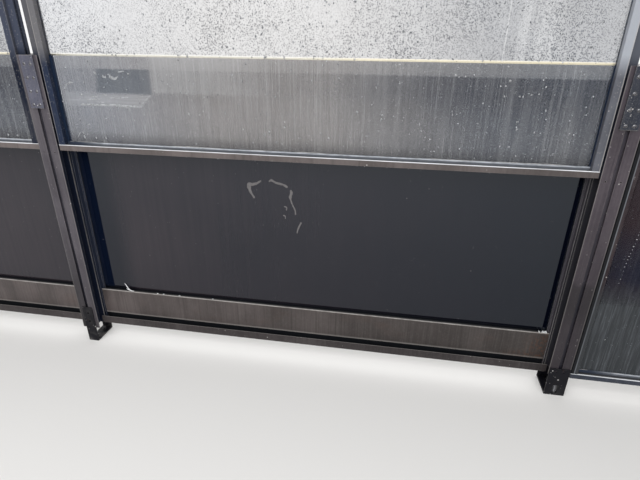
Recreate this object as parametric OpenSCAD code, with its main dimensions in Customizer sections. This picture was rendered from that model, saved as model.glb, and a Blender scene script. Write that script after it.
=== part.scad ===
// Glazed windscreen wall of an open street shelter, three bays long.
// Grooved posts stand on steel shoes. Each bay has a dark fixed pane over a deep
// bottom rail, and in front of it a clear sash that slides up and down in the posts.
// X runs along the wall, Y from the front face to the back and Z up from the ground.
// The origin is the middle of the underside of the first post's shoe.

/* [Wall] */
// Distance between the centres of neighbouring posts
bay_pitch = 1755; // [1200:5:2200]
// Height of the posts and of the fixed panes above the ground
post_top = 1076; // [900:1:1300]
// How far a lifted sash stands above a lowered one
sash_lift = 704.5; // [300:0.5:740]
// How many bays have their sash lifted, counted from the first
lifted_sashes = 2; // [0:1:3]

/* [Post] */
// Width of a post's front face
face_w = 70; // [64:1:90]
// Thickness of the front flanges
face_t = 3; // [2:0.5:5]
// Radius of the front face's outer edges
face_r = 1; // [0.5:0.1:1.5]
// How far the front flanges reach out past the web
flange = 23; // [20:0.5:24]
// Width of the groove down the middle of the front face
groove_w = 12; // [8:1:14]
// Depth of the groove down the front face
groove_d = 8; // [4:0.5:12]
// Clear depth of a sash track, front to back
track_d = 38; // [36:0.5:48]
// Thickness of the lip that closes a track at the back
lip_t = 3; // [2:0.5:5]
// How far a track lip stands out past the front flange
lip_out = 2; // [0:0.5:4]
// Depth of the shadow slot behind the track lip
slot_d = 4; // [2:0.5:8]
// How far the shadow slot is set in from the front flange's edge
slot_in = 5; // [2:0.5:8]
// Depth of the glazing box
box_d = 18; // [12:0.5:26]
// How far the glazing box stands out past the front flange
box_out = 6; // [4:0.5:8]
// How far the glazing lips stand out past the glazing box
glazing_lip = 6; // [4:0.5:8]
// Thickness of the front glazing lip
glazing_lip_t = 4; // [2:0.5:6]
// Thickness of the back cover
back_t = 7; // [6.5:0.5:10]
// Radius of the back cover's edges
back_r = 3; // [1:0.5:3]
// Thickness of the walls around the post's chambers
wall_t = 3; // [2:0.25:3.5]
// Thickness of the lid that closes the chambers at the post's top
lid_t = 4; // [2:0.5:6]
// How far the two small holes in the flanges sit below a lifted sash
peg_drop = 7; // [4:0.5:20]
// Distance of the small holes from the front flanges' edges
peg_in = 15; // [6:0.5:17]
// Radius of the small holes
peg_r = 2.25; // [1.5:0.25:3]

/* [Fixed glazing] */
// Thickness of a fixed pane
pane_t = 9; // [6:0.5:12]
// How far a fixed pane reaches into its frame
pane_bite = 12; // [8:0.5:14]
// Thickness of the rubber around a fixed pane
gasket_t = 2; // [1:0.25:3]

/* [Bottom rail] */
// Height of the bottom rail
rail_h = 104; // [60:1:160]
// How far the bottom rail's front stands back from the glazing box's front
rail_in = 6; // [2:0.5:10]
// Gap between the sill gutter and the bottom rail
rail_gap = 6.5; // [3:0.5:20]
// Thickness of the round bead along the bottom rail's front edge
bead_d = 3; // [1:0.5:5]

/* [Sill gutter] */
// Height of the gutter's underside above the ground
sill_z = 69; // [60:1:90]
// Height of the gutter's front wall
sill_h = 30; // [20:1:50]
// Gap between the sash and the gutter behind it
sill_gap = 0.5; // [0.3:0.1:2]
// How far the gutter's back wall stands behind the bottom rail's front
sill_under = 6; // [3:0.5:12]
// Thickness of the gutter's walls
sill_t = 2.5; // [1.5:0.25:3]
// How far the gutter's ends reach behind the front flanges
sill_bite = 4; // [2:0.5:10]

/* [Sash] */
// Gap between the front flanges and the sash's front
sash_gap = 1.5; // [0.5:0.1:2]
// Depth of the sash frame beside the glass
sash_d = 27; // [24:0.1:27.2]
// Height of the sash's top and bottom rails
sash_rail_h = 20; // [16:0.5:40]
// Height of a lowered sash's underside above the gutter's underside
sash_drop = 4.5; // [0:0.5:10]
// Radius of the sash frame's edges
sash_r = 1.2; // [0.5:0.1:2]
// Height and thickness of the lip along the front of a sash rail
sash_lip = 2.5; // [1:0.5:4]
// Gap between a stile and the web it passes
runner_gap = 2; // [1:0.5:4]
// How far a stile's edge stands out past the front flange
runner_out = 4; // [2:0.5:6]
// How far the part of a stile in the track stands back behind the sash's front
runner_in = 9.5; // [6:0.5:14]
// Height of the two ribs on the stile's outer side
rib_h = 5; // [2:0.5:8]
// Depth of the front rib on the stile's outer side
front_rib_d = 4; // [2:0.5:5]
// Depth of the back rib on the stile's outer side
back_rib_d = 11.5; // [8:0.5:13]
// How far the back rib stands in front of the stile's back
back_rib_in = 3.5; // [2:0.5:4]
// Width of the strip of a stile that shows beside the flange
strip_w = 22; // [16:1:30]
// Thickness of the sash glass
sash_glass_t = 6; // [4:0.5:7]
// How far the sash glass stands back from the sash's front
sash_glass_y = 19.5; // [14:0.5:20]
// How far the sash glass reaches into the stiles
sash_glass_bite = 10; // [6:0.5:12]
// How far the sash glass ends short of the sash's top and foot
sash_glass_in = 10; // [6:0.5:12]
// Thickness of the rubber in front of the sash glass
seal_t = 3; // [2:0.5:5]
// How far the rubber in front of the sash glass stands out of its frame
seal_w = 8; // [4:0.5:12]

/* [Cover plate] */
// How far the cover plate is set in from the front face's edges
plate_in = 12; // [4:0.5:16]
// Height of the plate at a post's top
plate_h = 160; // [150:1:200]
// Thickness of the plate at a post's top
plate_t = 5; // [4:0.5:12]
// Radius of the plate's long edges
plate_r = 0.8; // [0.4:0.1:1.2]
// Distance of the screws from the plate's long edges
screw_in = 12; // [8:0.5:15]
// Height of the lowest screws above the plate's lower edge
screw_foot = 11; // [8:1:20]
// Distance between two rows of screws
screw_step = 41; // [30:1:42]
// Number of rows of screws
screw_rows = 4; // [1:1:4]
// Radius of the sinkings for the screw heads
sinking_r = 4.5; // [3:0.25:5.5]
// Depth of the sinkings for the screw heads
sinking_d = 2.5; // [1:0.25:3]

/* [Ground shoes] */
// Height of the first two posts' lower ends
low_foot = 62; // [50:1:68]
// Height of the last two posts' lower ends
high_foot = 86; // [50:1:90]
// Thickness of a shoe's legs
leg_t = 3; // [2:0.5:6]
// Thickness of a shoe's base
base_t = 6; // [4:0.5:10]
// How far a narrow shoe is set in from the front face's edges
narrow_shoe_in = 14.5; // [8:0.5:18]
// Height of a narrow shoe's legs
narrow_shoe_h = 156; // [140:1:200]
// Height of the lower leg hole of a narrow shoe
narrow_hole_z = 92; // [80:1:96]
// Distance between the leg holes of a narrow shoe
narrow_hole_gap = 37; // [25:1:38]
// How far a wide shoe is set in from the front face's edges
wide_shoe_in = 2; // [0:0.5:6]
// Height of a wide shoe's legs
wide_shoe_h = 112; // [108:1:160]
// Height of the leg holes of a wide shoe
wide_hole_z = 100; // [96:1:102]
// Distance of the leg holes from a wide shoe's edges
wide_hole_in = 21; // [12:0.5:24]
// Radius of the leg holes
leg_hole_r = 4; // [2:0.5:5]
// Radius of the levelling bolt of a wide shoe
bolt_r = 6; // [4:0.5:8]
// Width of the notch that shows the levelling bolt
notch_w = 18; // [14:1:24]
// Height of the notch that shows the levelling bolt
notch_h = 36; // [20:1:60]
// Distance between the two anchor holes in a base, front to back
anchor_gap = 50; // [30:1:60]
// Radius of the anchor holes
anchor_r = 4.5; // [3:0.5:6]

/* [Hidden] */
$fn = 32;
fit = 0.3;
BAYS = ["left", "centre", "right"];
posts = len(BAYS) + 1;

// Widths across a post
web_w = face_w - 2 * flange;
lip_w = face_w + 2 * lip_out;
slot_w = face_w - 2 * slot_in;
box_w = face_w + 2 * box_out;
glazing_w = box_w + 2 * glazing_lip;
plate_w = face_w - 2 * plate_in;
narrow_shoe_w = face_w - 2 * narrow_shoe_in;
wide_shoe_w = face_w - 2 * wide_shoe_in;

// Places counted from the front faces
lip_y = face_t + track_d;
slot_y = lip_y + lip_t;
box_y = slot_y + slot_d;
glazing_lip_y = box_y + box_d;
pane_slot_y = glazing_lip_y + glazing_lip_t;
pane_slot_d = pane_t + 2 * gasket_t;
back_y = pane_slot_y + pane_slot_d;
post_d = back_y + back_t;
pane_y = pane_slot_y + gasket_t;
rail_y = box_y + rail_in;
sash_y = face_t + sash_gap;
sash_pane_y = sash_y + sash_glass_y;
runner_y = sash_y + runner_in;
runner_back_y = lip_y - fit;
sill_y = sash_y + sash_d + sill_gap;
sill_d = rail_y + sill_under - sill_y;

// Places counted from a post's centre
pane_edge = glazing_w / 2 - pane_bite;
pane_slot_x = pane_edge - gasket_t;
rail_end = box_w / 2 + fit;
rail_back_end = glazing_w / 2 + fit;
sill_end = face_w / 2 - sill_bite;
peg_x = face_w / 2 - peg_in;
screw_x = plate_w / 2 - screw_in;
wide_hole_x = wide_shoe_w / 2 - wide_hole_in;
runner_x = web_w / 2 + runner_gap;
strip_x = face_w / 2 + runner_out;
strip_end = strip_x + strip_w;
sash_glass_edge = strip_end - sash_glass_bite;

// Heights above the ground
sill_top = sill_z + sill_h;
rail_z = sill_top + rail_gap;
rail_top = rail_z + rail_h;
pane_z = rail_top - pane_bite;
sash_low = sill_z + sash_drop;
sash_h = post_top - sash_low;
runner_notch_h = sill_top - sash_low;
peg_z = sash_low + sash_lift - peg_drop;
plate_z = post_top - plate_h;

bronze = "#4b4644";
bronze_light = "#6a6361";
steel = "#26262a";
rubber = "#1a1b1e";
dark_glass = [0.06, 0.07, 0.09, 0.9];
clear_glass = [0.7, 0.78, 0.8, 0.35];

function post_foot(i) = i < 2 ? low_foot : high_foot;
function sash_z(b) = sash_low + (b < lifted_sashes ? sash_lift : 0);

// Sets a piece drawn from the front faces at post or bay i
module at_post(i)
    translate([i * bay_pitch, -post_d / 2, 0]) children();

// Draws a piece beside the bay's first post, and its mirror image beside the second
module both_ends() {
    children();
    translate([bay_pitch, 0, 0]) mirror([1, 0, 0]) children();
}

// A flat profile with round corners, its lower left corner at the origin
module round_bar(w, d, r) {
    translate([r, 0]) square([w - 2 * r, d]);
    translate([0, r]) square([w, d - 2 * r]);
    for (x = [r, w - r], y = [r, d - r]) translate([x, y]) circle(r);
}

// One band of the post's profile, w wide and d deep, y behind the front faces
module band(w, y, d)
    translate([-w / 2, y]) square([w, d]);

// The post's outer profile, with a sash track and a glazing slot on each side
module post_outline() {
    translate([-face_w / 2, 0]) round_bar(face_w, face_t, face_r);
    band(web_w, face_t / 2, lip_y - face_t / 2);
    band(lip_w, lip_y, lip_t);
    band(slot_w, slot_y, slot_d);
    band(box_w, box_y, box_d);
    band(glazing_w, glazing_lip_y, glazing_lip_t);
    band(2 * pane_slot_x, pane_slot_y, pane_slot_d);
    translate([-glazing_w / 2, back_y]) round_bar(glazing_w, back_t, back_r);
}

// The chambers inside the web, the glazing box and the core between the panes
module post_chambers() {
    band(web_w - 2 * wall_t, groove_d + wall_t, lip_y - groove_d - wall_t);
    band(slot_w - 2 * wall_t, slot_y, slot_d + wall_t + 1);
    band(box_w - 2 * wall_t, box_y + wall_t, box_d - wall_t);
    band(2 * (pane_slot_x - wall_t), pane_slot_y, pane_slot_d);
}

module post(i)
    color(bronze) at_post(i) difference() {
        translate([0, 0, post_foot(i)]) linear_extrude(post_top - post_foot(i)) difference() {
            post_outline();
            band(groove_w, -1, groove_d + 1);
        }
        translate([0, 0, post_foot(i) - 1])
            linear_extrude(post_top - lid_t - post_foot(i) + 1) post_chambers();
        for (side = [-1, 1]) translate([side * peg_x, -1, peg_z])
            rotate([-90, 0, 0]) cylinder(h = face_t + 2, r = peg_r);
    }

module cover_plate(i)
    color(bronze_light) at_post(i) difference() {
        translate([-plate_w / 2, -plate_t, plate_z])
            linear_extrude(plate_h) round_bar(plate_w, plate_t, plate_r);
        for (side = [-1, 1], row = [0 : screw_rows - 1])
            translate([side * screw_x, -plate_t - 1, plate_z + screw_foot + row * screw_step])
                rotate([-90, 0, 0]) cylinder(h = sinking_d + 1, r = sinking_r);
    }

// A bent flat bar: two legs up the post's front and back, joined by a base on the ground
module shoe_bar(w, h) {
    for (y = [-leg_t, post_d]) translate([-w / 2, y, 0]) cube([w, leg_t, h]);
    translate([-w / 2, -leg_t, 0]) cube([w, post_d + 2 * leg_t, base_t]);
}

module anchor_holes()
    for (side = [-1, 1]) translate([0, post_d / 2 + side * anchor_gap / 2, -1])
        cylinder(h = base_t + 2, r = anchor_r);

// Holes through both legs, at one place across the leg and one height
module leg_holes(x, z)
    for (y = [-leg_t, post_d]) translate([x, y - 1, z])
        rotate([-90, 0, 0]) cylinder(h = leg_t + 2, r = leg_hole_r);

module narrow_shoe()
    difference() {
        shoe_bar(narrow_shoe_w, narrow_shoe_h);
        anchor_holes();
        leg_holes(0, narrow_hole_z);
        leg_holes(0, narrow_hole_z + narrow_hole_gap);
    }

// The wide shoe's front leg is notched around a levelling bolt that stands on the base
module wide_shoe() {
    difference() {
        shoe_bar(wide_shoe_w, wide_shoe_h);
        anchor_holes();
        for (side = [-1, 1]) leg_holes(side * wide_hole_x, wide_hole_z);
        translate([-notch_w / 2, -leg_t - 1, base_t]) cube([notch_w, leg_t + 1, notch_h]);
    }
    translate([0, bolt_r, base_t]) cylinder(h = high_foot - base_t, r = bolt_r);
}

module ground_shoe(i)
    color(steel) at_post(i) if (i < 2) narrow_shoe(); else wide_shoe();

// The bottom rail's profile, across and up, with a glazing slot in its top
module bottom_rail_profile() {
    difference() {
        translate([rail_y, rail_z]) square([post_d - rail_y, rail_h]);
        translate([pane_slot_y, pane_z - gasket_t]) square([pane_slot_d, pane_bite + gasket_t + 1]);
    }
    translate([rail_y + bead_d / 2, rail_top + bead_d / 2]) circle(bead_d / 2);
    translate([rail_y, rail_top]) square([bead_d, bead_d / 2]);
}

module bottom_rail(b)
    color(bronze_light) at_post(b) difference() {
        translate([rail_end, 0, 0]) rotate([90, 0, 90])
            linear_extrude(bay_pitch - 2 * rail_end) bottom_rail_profile();
        both_ends() translate([rail_end - 1, glazing_lip_y - fit, rail_z - 1])
            cube([rail_back_end - rail_end + 1, post_d, rail_h + bead_d + 2]);
    }

// The gutter's profile: a round-topped front wall, a floor and a back wall up to the bottom rail
module sill_gutter_profile() {
    translate([sill_y, sill_z]) square([sill_t, sill_h - sill_t / 2]);
    translate([sill_y + sill_t / 2, sill_top - sill_t / 2]) circle(sill_t / 2);
    translate([sill_y, sill_z]) square([sill_d, sill_t]);
    translate([sill_y + sill_d - sill_t, sill_z]) square([sill_t, rail_z - sill_z]);
}

module sill_gutter(b)
    color(bronze) at_post(b) difference() {
        translate([sill_end, 0, 0]) rotate([90, 0, 90])
            linear_extrude(bay_pitch - 2 * sill_end) sill_gutter_profile();
        both_ends() translate([sill_end - 1, lip_y - fit, sill_z - 1])
            cube([rail_end - sill_end + 1, post_d, sill_h + rail_gap + 2]);
    }

module fixed_pane(b)
    color(dark_glass) at_post(b) translate([pane_edge, pane_y, pane_z])
        cube([bay_pitch - 2 * pane_edge, pane_t, post_top - pane_z]);

// Rubber channel around the fixed pane's two sides and lower edge
module pane_gasket(b)
    color(rubber) at_post(b) difference() {
        translate([pane_slot_x, pane_slot_y, pane_z - gasket_t])
            cube([bay_pitch - 2 * pane_slot_x, pane_slot_d, post_top - pane_z + gasket_t]);
        translate([pane_edge, pane_y, pane_z])
            cube([bay_pitch - 2 * pane_edge, pane_t, post_top - pane_z + 1]);
        translate([glazing_w / 2, pane_slot_y - 1, rail_top])
            cube([bay_pitch - glazing_w, pane_slot_d + 2, post_top - rail_top + 1]);
        both_ends() translate([pane_slot_x - 1, pane_slot_y - 1, pane_z - gasket_t - 1])
            cube([rail_back_end - pane_slot_x + 1, pane_slot_d + 2, gasket_t + 1]);
    }

// A sash rail's profile, across and up, with the glass slot in its top
module sash_rail_profile()
    difference() {
        translate([sash_y, 0]) round_bar(sash_d, sash_rail_h, sash_r);
        translate([sash_pane_y, sash_glass_in])
            square([sash_glass_t, sash_rail_h - sash_glass_in + 1]);
    }

// A sash rail, sunk behind its front lip between the stiles
module sash_rail()
    difference() {
        translate([strip_x, 0, 0]) rotate([90, 0, 90])
            linear_extrude(bay_pitch - 2 * strip_x) sash_rail_profile();
        translate([strip_end, sash_y + sash_lip, sash_rail_h - sash_lip])
            cube([bay_pitch - 2 * strip_end, sash_d, sash_lip + 1]);
    }

module sash_bottom_rail(b)
    color(bronze_light) at_post(b) translate([0, 0, sash_z(b)]) sash_rail();

module sash_top_rail(b)
    color(bronze_light) at_post(b) translate([0, 0, sash_z(b) + sash_h]) mirror([0, 0, 1]) sash_rail();

// The part of a stile that runs in the track, with two ribs down its outer side
module runner_profile() {
    translate([runner_x + rib_h, runner_y])
        square([strip_x - runner_x - rib_h, runner_back_y - runner_y]);
    translate([runner_x, runner_y]) square([rib_h + 1, front_rib_d]);
    translate([runner_x, runner_back_y - back_rib_in - back_rib_d]) square([rib_h + 1, back_rib_d]);
}

// The strip of a stile that shows beside the glass, with the glass slot in it
module strip_profile()
    difference() {
        translate([strip_x, sash_y]) round_bar(strip_w, sash_d, sash_r);
        translate([sash_glass_edge, sash_pane_y]) square([sash_glass_bite + 1, sash_glass_t]);
    }

// A stile: its runner is as tall as the sash and its strip stands between the rails.
// The runner's foot is notched over the gutter's end, which stops a lowered sash.
module stile() {
    difference() {
        linear_extrude(sash_h) runner_profile();
        translate([runner_x - 1, sill_y - fit, -1])
            cube([strip_x - runner_x + 2, track_d, runner_notch_h + 1]);
    }
    translate([0, 0, sash_rail_h]) linear_extrude(sash_h - 2 * sash_rail_h) strip_profile();
}

module sash_first_stile(b)
    color(bronze_light) at_post(b) translate([0, 0, sash_z(b)]) stile();

module sash_second_stile(b)
    color(bronze_light) at_post(b + 1) translate([0, 0, sash_z(b)]) mirror([1, 0, 0]) stile();

module sash_pane(b)
    color(clear_glass) at_post(b)
        translate([sash_glass_edge, sash_pane_y, sash_z(b) + sash_glass_in])
            cube([bay_pitch - 2 * sash_glass_edge, sash_glass_t, sash_h - 2 * sash_glass_in]);

// A flat rubber frame on the sash glass, between its front and the four frame bars
module sash_seal(b)
    color(rubber) at_post(b) translate([strip_end, sash_pane_y - seal_t, sash_z(b) + sash_rail_h])
        difference() {
            sight_w = bay_pitch - 2 * strip_end;
            sight_h = sash_h - 2 * sash_rail_h;
            translate([0, 0, -sash_lip]) cube([sight_w, seal_t, sight_h + 2 * sash_lip]);
            translate([seal_w, -1, seal_w]) cube([sight_w - 2 * seal_w, seal_t + 2, sight_h - 2 * seal_w]);
        }

for (i = [0 : posts - 1]) {
    post(i);
    cover_plate(i);
    ground_shoe(i);
}
for (b = [0 : len(BAYS) - 1]) {
    bottom_rail(b);
    sill_gutter(b);
    fixed_pane(b);
    pane_gasket(b);
    sash_bottom_rail(b);
    sash_top_rail(b);
    sash_first_stile(b);
    sash_second_stile(b);
    sash_pane(b);
    sash_seal(b);
}
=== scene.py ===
"""Finishes and small fittings for a glazed screen wall: sliding sashes between grooved bronze posts."""

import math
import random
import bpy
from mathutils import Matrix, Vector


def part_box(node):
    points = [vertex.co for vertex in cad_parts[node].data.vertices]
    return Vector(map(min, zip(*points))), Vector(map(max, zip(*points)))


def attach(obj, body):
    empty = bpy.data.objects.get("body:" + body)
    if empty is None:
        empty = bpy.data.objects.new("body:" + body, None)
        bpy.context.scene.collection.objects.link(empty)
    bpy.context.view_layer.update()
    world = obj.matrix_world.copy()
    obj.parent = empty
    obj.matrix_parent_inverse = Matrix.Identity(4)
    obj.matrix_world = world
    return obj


bl_info = {
    "name": "Glazed screen wall",
    "version": (1, 0, 0),
    "blender": (4, 5, 0),
    "location": "View3D > Sidebar > Screen wall",
    "description": "Finishes and small fittings for a glazed wall with sliding sashes",
    "category": "Object",
}

import bmesh
import bpy
from bpy.props import FloatProperty, FloatVectorProperty, IntProperty, PointerProperty
from mathutils import Matrix, Vector, noise

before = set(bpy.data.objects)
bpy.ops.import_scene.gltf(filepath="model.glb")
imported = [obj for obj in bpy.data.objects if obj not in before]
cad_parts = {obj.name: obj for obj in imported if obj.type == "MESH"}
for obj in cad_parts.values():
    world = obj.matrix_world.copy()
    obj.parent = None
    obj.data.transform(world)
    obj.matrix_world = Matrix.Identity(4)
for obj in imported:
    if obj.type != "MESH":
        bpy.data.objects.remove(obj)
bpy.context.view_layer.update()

# Places on the wall that the finishes and fittings are set out from, in metres, read from the frame

MM = 0.001
BAYS = ("left", "centre", "right")
POSTS = (1, 2, 3, 4)
HIGH_POSTS = (3, 4)
BAY_POST = {"left": 1, "centre": 2, "right": 3}


def middle_of(node):
    """Middle of a node's box, in metres."""
    low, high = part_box(node)
    return (low + high) / 2


POST_X = {i: middle_of(f"post_{i}").x for i in POSTS}
PITCH = POST_X[3] - POST_X[2]
POST_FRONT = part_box("post_2")[0].y
PLATE_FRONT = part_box("cover_plate_1")[0].y
PANE_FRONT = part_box("centre_fixed_pane")[0].y
PANE_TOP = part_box("centre_fixed_pane")[1].z
RAIL_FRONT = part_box("centre_bottom_rail")[0].y
RAIL_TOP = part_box("centre_bottom_rail")[1].z
RAIL_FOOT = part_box("centre_bottom_rail")[0].z
GUTTER_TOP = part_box("centre_sill_gutter")[1].z
GUTTER_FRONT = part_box("centre_sill_gutter")[0].y
SASH_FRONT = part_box("centre_sash_bottom_rail")[0].y
SASH_GLASS_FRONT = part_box("centre_sash_pane")[0].y

# Pale lines of painted highlight along the posts' lips and box edges, the stiles' edges and the sash seal, in
# millimetres from a post's middle or from its front.
# Each band begins, is full, starts to fade and is gone.

TRACK_LIP_SIDE = (34.4, 35.2, 37.4, 38.0)
TRACK_LIP_DEPTH = (-5.4, -4.8, -0.2, 0.4)
BOX_EDGE_DEPTH = (1.8, 2.4, 5.0, 5.6)
RUNNER_RIM = (38.6, 39.0, 41.0, 42.4)
LOWERED_LINE = (47.6, 48.4, 50.6, 51.6)
SEAL_LINE = (74.4, 75.2, 76.8, 77.6)

# Marks on the middle sash's glass, and the block of painted reflection on it, in metres: along from the
# second post, and up from the ground

WIPE_ALONG = 1.49
CLEAN_LINE_ALONG = 1.412
FAN_TIP = (0.345, 0.925)
FAN_LEAN = 1.05
FAN_UP = (0.919, 0.928, 0.958, 0.972)
BLOCK_UP = (0.962, 0.968, 1.035, 1.04)
BLOCK_LEAN = 0.2
PALE_PART_ALONG = (0.385, 0.4, 0.5, 0.8)

# Where the lowered sash's film turns from brown to blue-grey, in metres up from the ground

LOWERED_TURN = (0.46, 0.36)


# Properties


def shade(name, description, colour):
    """A colour that a user can change."""
    return FloatVectorProperty(
        name=name, description=description, subtype="COLOR", size=3, min=0.0, max=1.0, default=colour
    )


def length(name, description, size_mm):
    """A length that a user can change, given in millimetres."""
    return FloatProperty(
        name=name, description=description, subtype="DISTANCE", unit="LENGTH", min=0.0, default=size_mm * MM
    )


def share(name, description, value):
    """A share from nothing to all."""
    return FloatProperty(
        name=name, description=description, subtype="FACTOR", min=0.0, max=1.0, default=value
    )


def angle(name, description, degrees):
    """An angle, given in degrees."""
    return FloatProperty(name=name, description=description, subtype="ANGLE", default=math.radians(degrees))


class ScreenWallColours(bpy.types.PropertyGroup):
    """Colours of the wall's finishes"""

    post_left: shade("Posts, left", "Bronze of the posts' faces", (0.069, 0.061, 0.074))
    post_right: shade("Posts, right", "Bronze of the posts' faces in the shade", (0.05, 0.039, 0.05))
    # Painted shade in the tracks, grooves and runners, and a painted reflection of the posts on the dark
    # panes; the same blue-black also marks the plates' pits.
    blue_black_shade_and_pits: shade("Recesses", "Blue-black of the tracks and glazing sides", (0.004, 0.008, 0.022))
    recess_side: shade("Recess sides", "Side walls of the tracks that face the light", (0.022, 0.028, 0.05))
    # Painted light: the tracks on a post's left side are lit to a lighter grey.
    recess_lit_grey: shade(
        "Recesses, second side", "Grey bronze of the tracks on a post's other side", (0.022, 0.021, 0.025)
    )
    # Painted shade in the gaps behind the rails, in the gutters' troughs and in the lowered stile's runner.
    hollow_shade: shade("Hollows", "Near-black gaps behind the rails", (0.003, 0.004, 0.006))
    plate_left: shade("Plates, left", "Slate bronze of the cover plates", (0.085, 0.087, 0.125))
    plate_right: shade(
        "Plates, right", "Slate bronze of the cover plates in the shade", (0.014, 0.019, 0.034)
    )
    stile_low: shade(
        "First stiles, low", "Blue-black of a first stile beside its post", (0.012, 0.022, 0.052)
    )
    stile_high: shade("First stiles, high", "Warm grey of a first stile above its post", (0.132, 0.13, 0.138))
    stile: shade("Second stiles", "Grey bronze of the centre sash's second stile", (0.095, 0.1, 0.12))
    # Painted reflection brightening the second stile above its post.
    stile_lit: shade("Second stiles, high", "Second stile above its post", (0.33, 0.35, 0.39))
    stile_dark: shade("Outer stiles", "Blue-black of the outer bays' stiles", (0.004, 0.008, 0.022))
    stile_blue: shade(
        "Outer stiles, high", "Slate blue of the outer stile above its post", (0.05, 0.058, 0.085)
    )
    sash: shade("Sash rails", "Bronze of the sash rails", (0.13, 0.108, 0.105))
    sash_low: shade("Sash rails, lowered", "Blue-grey of the lowered sash's rails", (0.024, 0.031, 0.05))
    # Painted highlight along the sash rails' lips.
    sash_lip_highlight: shade("Sash lip", "Rubbed lip along the top of a sash rail", (0.78, 0.8, 0.84))
    rail_left: shade("Bottom rails, left", "Brown bronze of the bottom rails", (0.092, 0.075, 0.073))
    rail_right: shade(
        "Bottom rails, right", "Brown bronze of the bottom rails in the shade", (0.034, 0.028, 0.026)
    )
    gutter: shade("Gutters", "Dull bronze of the sill gutters", (0.035, 0.028, 0.029))
    shoe: shade("Shoes", "Black paint of the ground shoes", (0.005, 0.005, 0.008))
    steel: shade("Fixings", "Dull steel of the nuts and bolts", (0.14, 0.14, 0.15))
    screw: shade("Plate screws", "Brighter steel of the cover plates' screws", (0.45, 0.45, 0.48))
    rubber: shade("Rubber", "Glazing rubber", (0.004, 0.005, 0.008))
    seal: shade("Sash seals", "Grimy seal round the sash glass", (0.13, 0.14, 0.16))
    seal_crest: shade("Sash seals, crest", "Chalky crest of the seal above a rail", (0.5, 0.53, 0.58))
    # Blue-black of the seals' sides, with a painted reflection of the post, also laid on the glass beside the
    # first stile.
    seal_side_and_reflection: shade("Sash seals, sides", "Blue-black of the seals beside the stiles", (0.01, 0.02, 0.045))
    # Dust and dried rain; the same colour is also laid as painted highlight along edges, lips and rims.
    dust_and_highlight: shade("Dust", "Dust and dried rain", (0.42, 0.4, 0.38))
    chalk: shade("Chips", "Pale chips and worn paint", (0.55, 0.53, 0.52))
    rust: shade("Rust", "Rust that has run onto the metal", (0.09, 0.04, 0.022))
    pane: shade("Dark panes", "Near-black fixed glass", (0.001, 0.002, 0.006))
    pane_dust: shade("Dark pane dust", "Film of dust on the fixed glass", (0.036, 0.027, 0.031))
    # Ground edge colour, bright enough to stand as a painted highlight.
    pane_edge: shade("Pane edges", "Ground top edge of the fixed glass", (0.95, 0.93, 0.86))
    # Painted highlight on the sash glass over the fixed pane's edge.
    pane_edge_highlight: shade("Stain over the pane's edge", "Yellowed line on the sash glass", (0.92, 0.84, 0.62))
    film_left: shade("Sash film, left", "Rain film on the left of a sash's glass", (0.38, 0.4, 0.45))
    film: shade("Sash film", "Rain film on the middle of a sash's glass", (0.4, 0.385, 0.385))
    # Painted shade: darker film towards the right of each sash.
    film_right_shaded: shade("Sash film, right", "Rain film on the right of a sash's glass", (0.17, 0.185, 0.215))
    film_shade: shade("Sash film, shaded", "Film where less light reaches it", (0.04, 0.05, 0.075))
    # Painted reflection: a dark block on the film beside the second post.
    reflection_block: shade("Sash film, washed", "Block of thinner film beside the second post", (0.15, 0.19, 0.24))
    film_warm: shade("Sash film, warm", "Warm clouds in the film", (0.12, 0.105, 0.095))
    film_foot: shade("Sash film, foot", "Grime above a sash's bottom rail", (0.05, 0.05, 0.055))
    # Pale streaks in the film, also laid as painted highlights on the drops and along the seal.
    pale_film_and_highlight: shade("Sash streaks", "Pale streaks in the rain film", (0.72, 0.73, 0.74))
    # Dark drops as painted shade, also laid as dark runs low on the glass.
    dark_film_and_drop_shade: shade("Sash drops", "Dark side of the drops on the sash glass", (0.1, 0.105, 0.12))
    film_brown: shade("Lowered film, high", "Brown film on the lowered sash's glass", (0.022, 0.013, 0.017))
    film_low: shade("Lowered film, low", "Blue-grey film towards the ground", (0.035, 0.039, 0.043))
    film_runs: shade("Lowered film, runs", "Pale runs on the lowered sash's glass", (0.16, 0.17, 0.19))
    lint: shade("Scraps", "Scraps of old sealant", (0.85, 0.86, 0.87))
    scuff: shade("Scuffs", "Wiped marks on the sash glass", (0.62, 0.64, 0.66))
    # Painted shade and light in the rain drops.
    drop_painted_shade: shade("Drops, dark", "Darker rain drops", (0.15, 0.16, 0.18))
    drop_painted_light: shade("Drops, pale", "Paler rain drops", (0.9, 0.91, 0.92))
    smear: shade("Smears", "Dried smears on the centre pane", (0.15, 0.142, 0.145))


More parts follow.
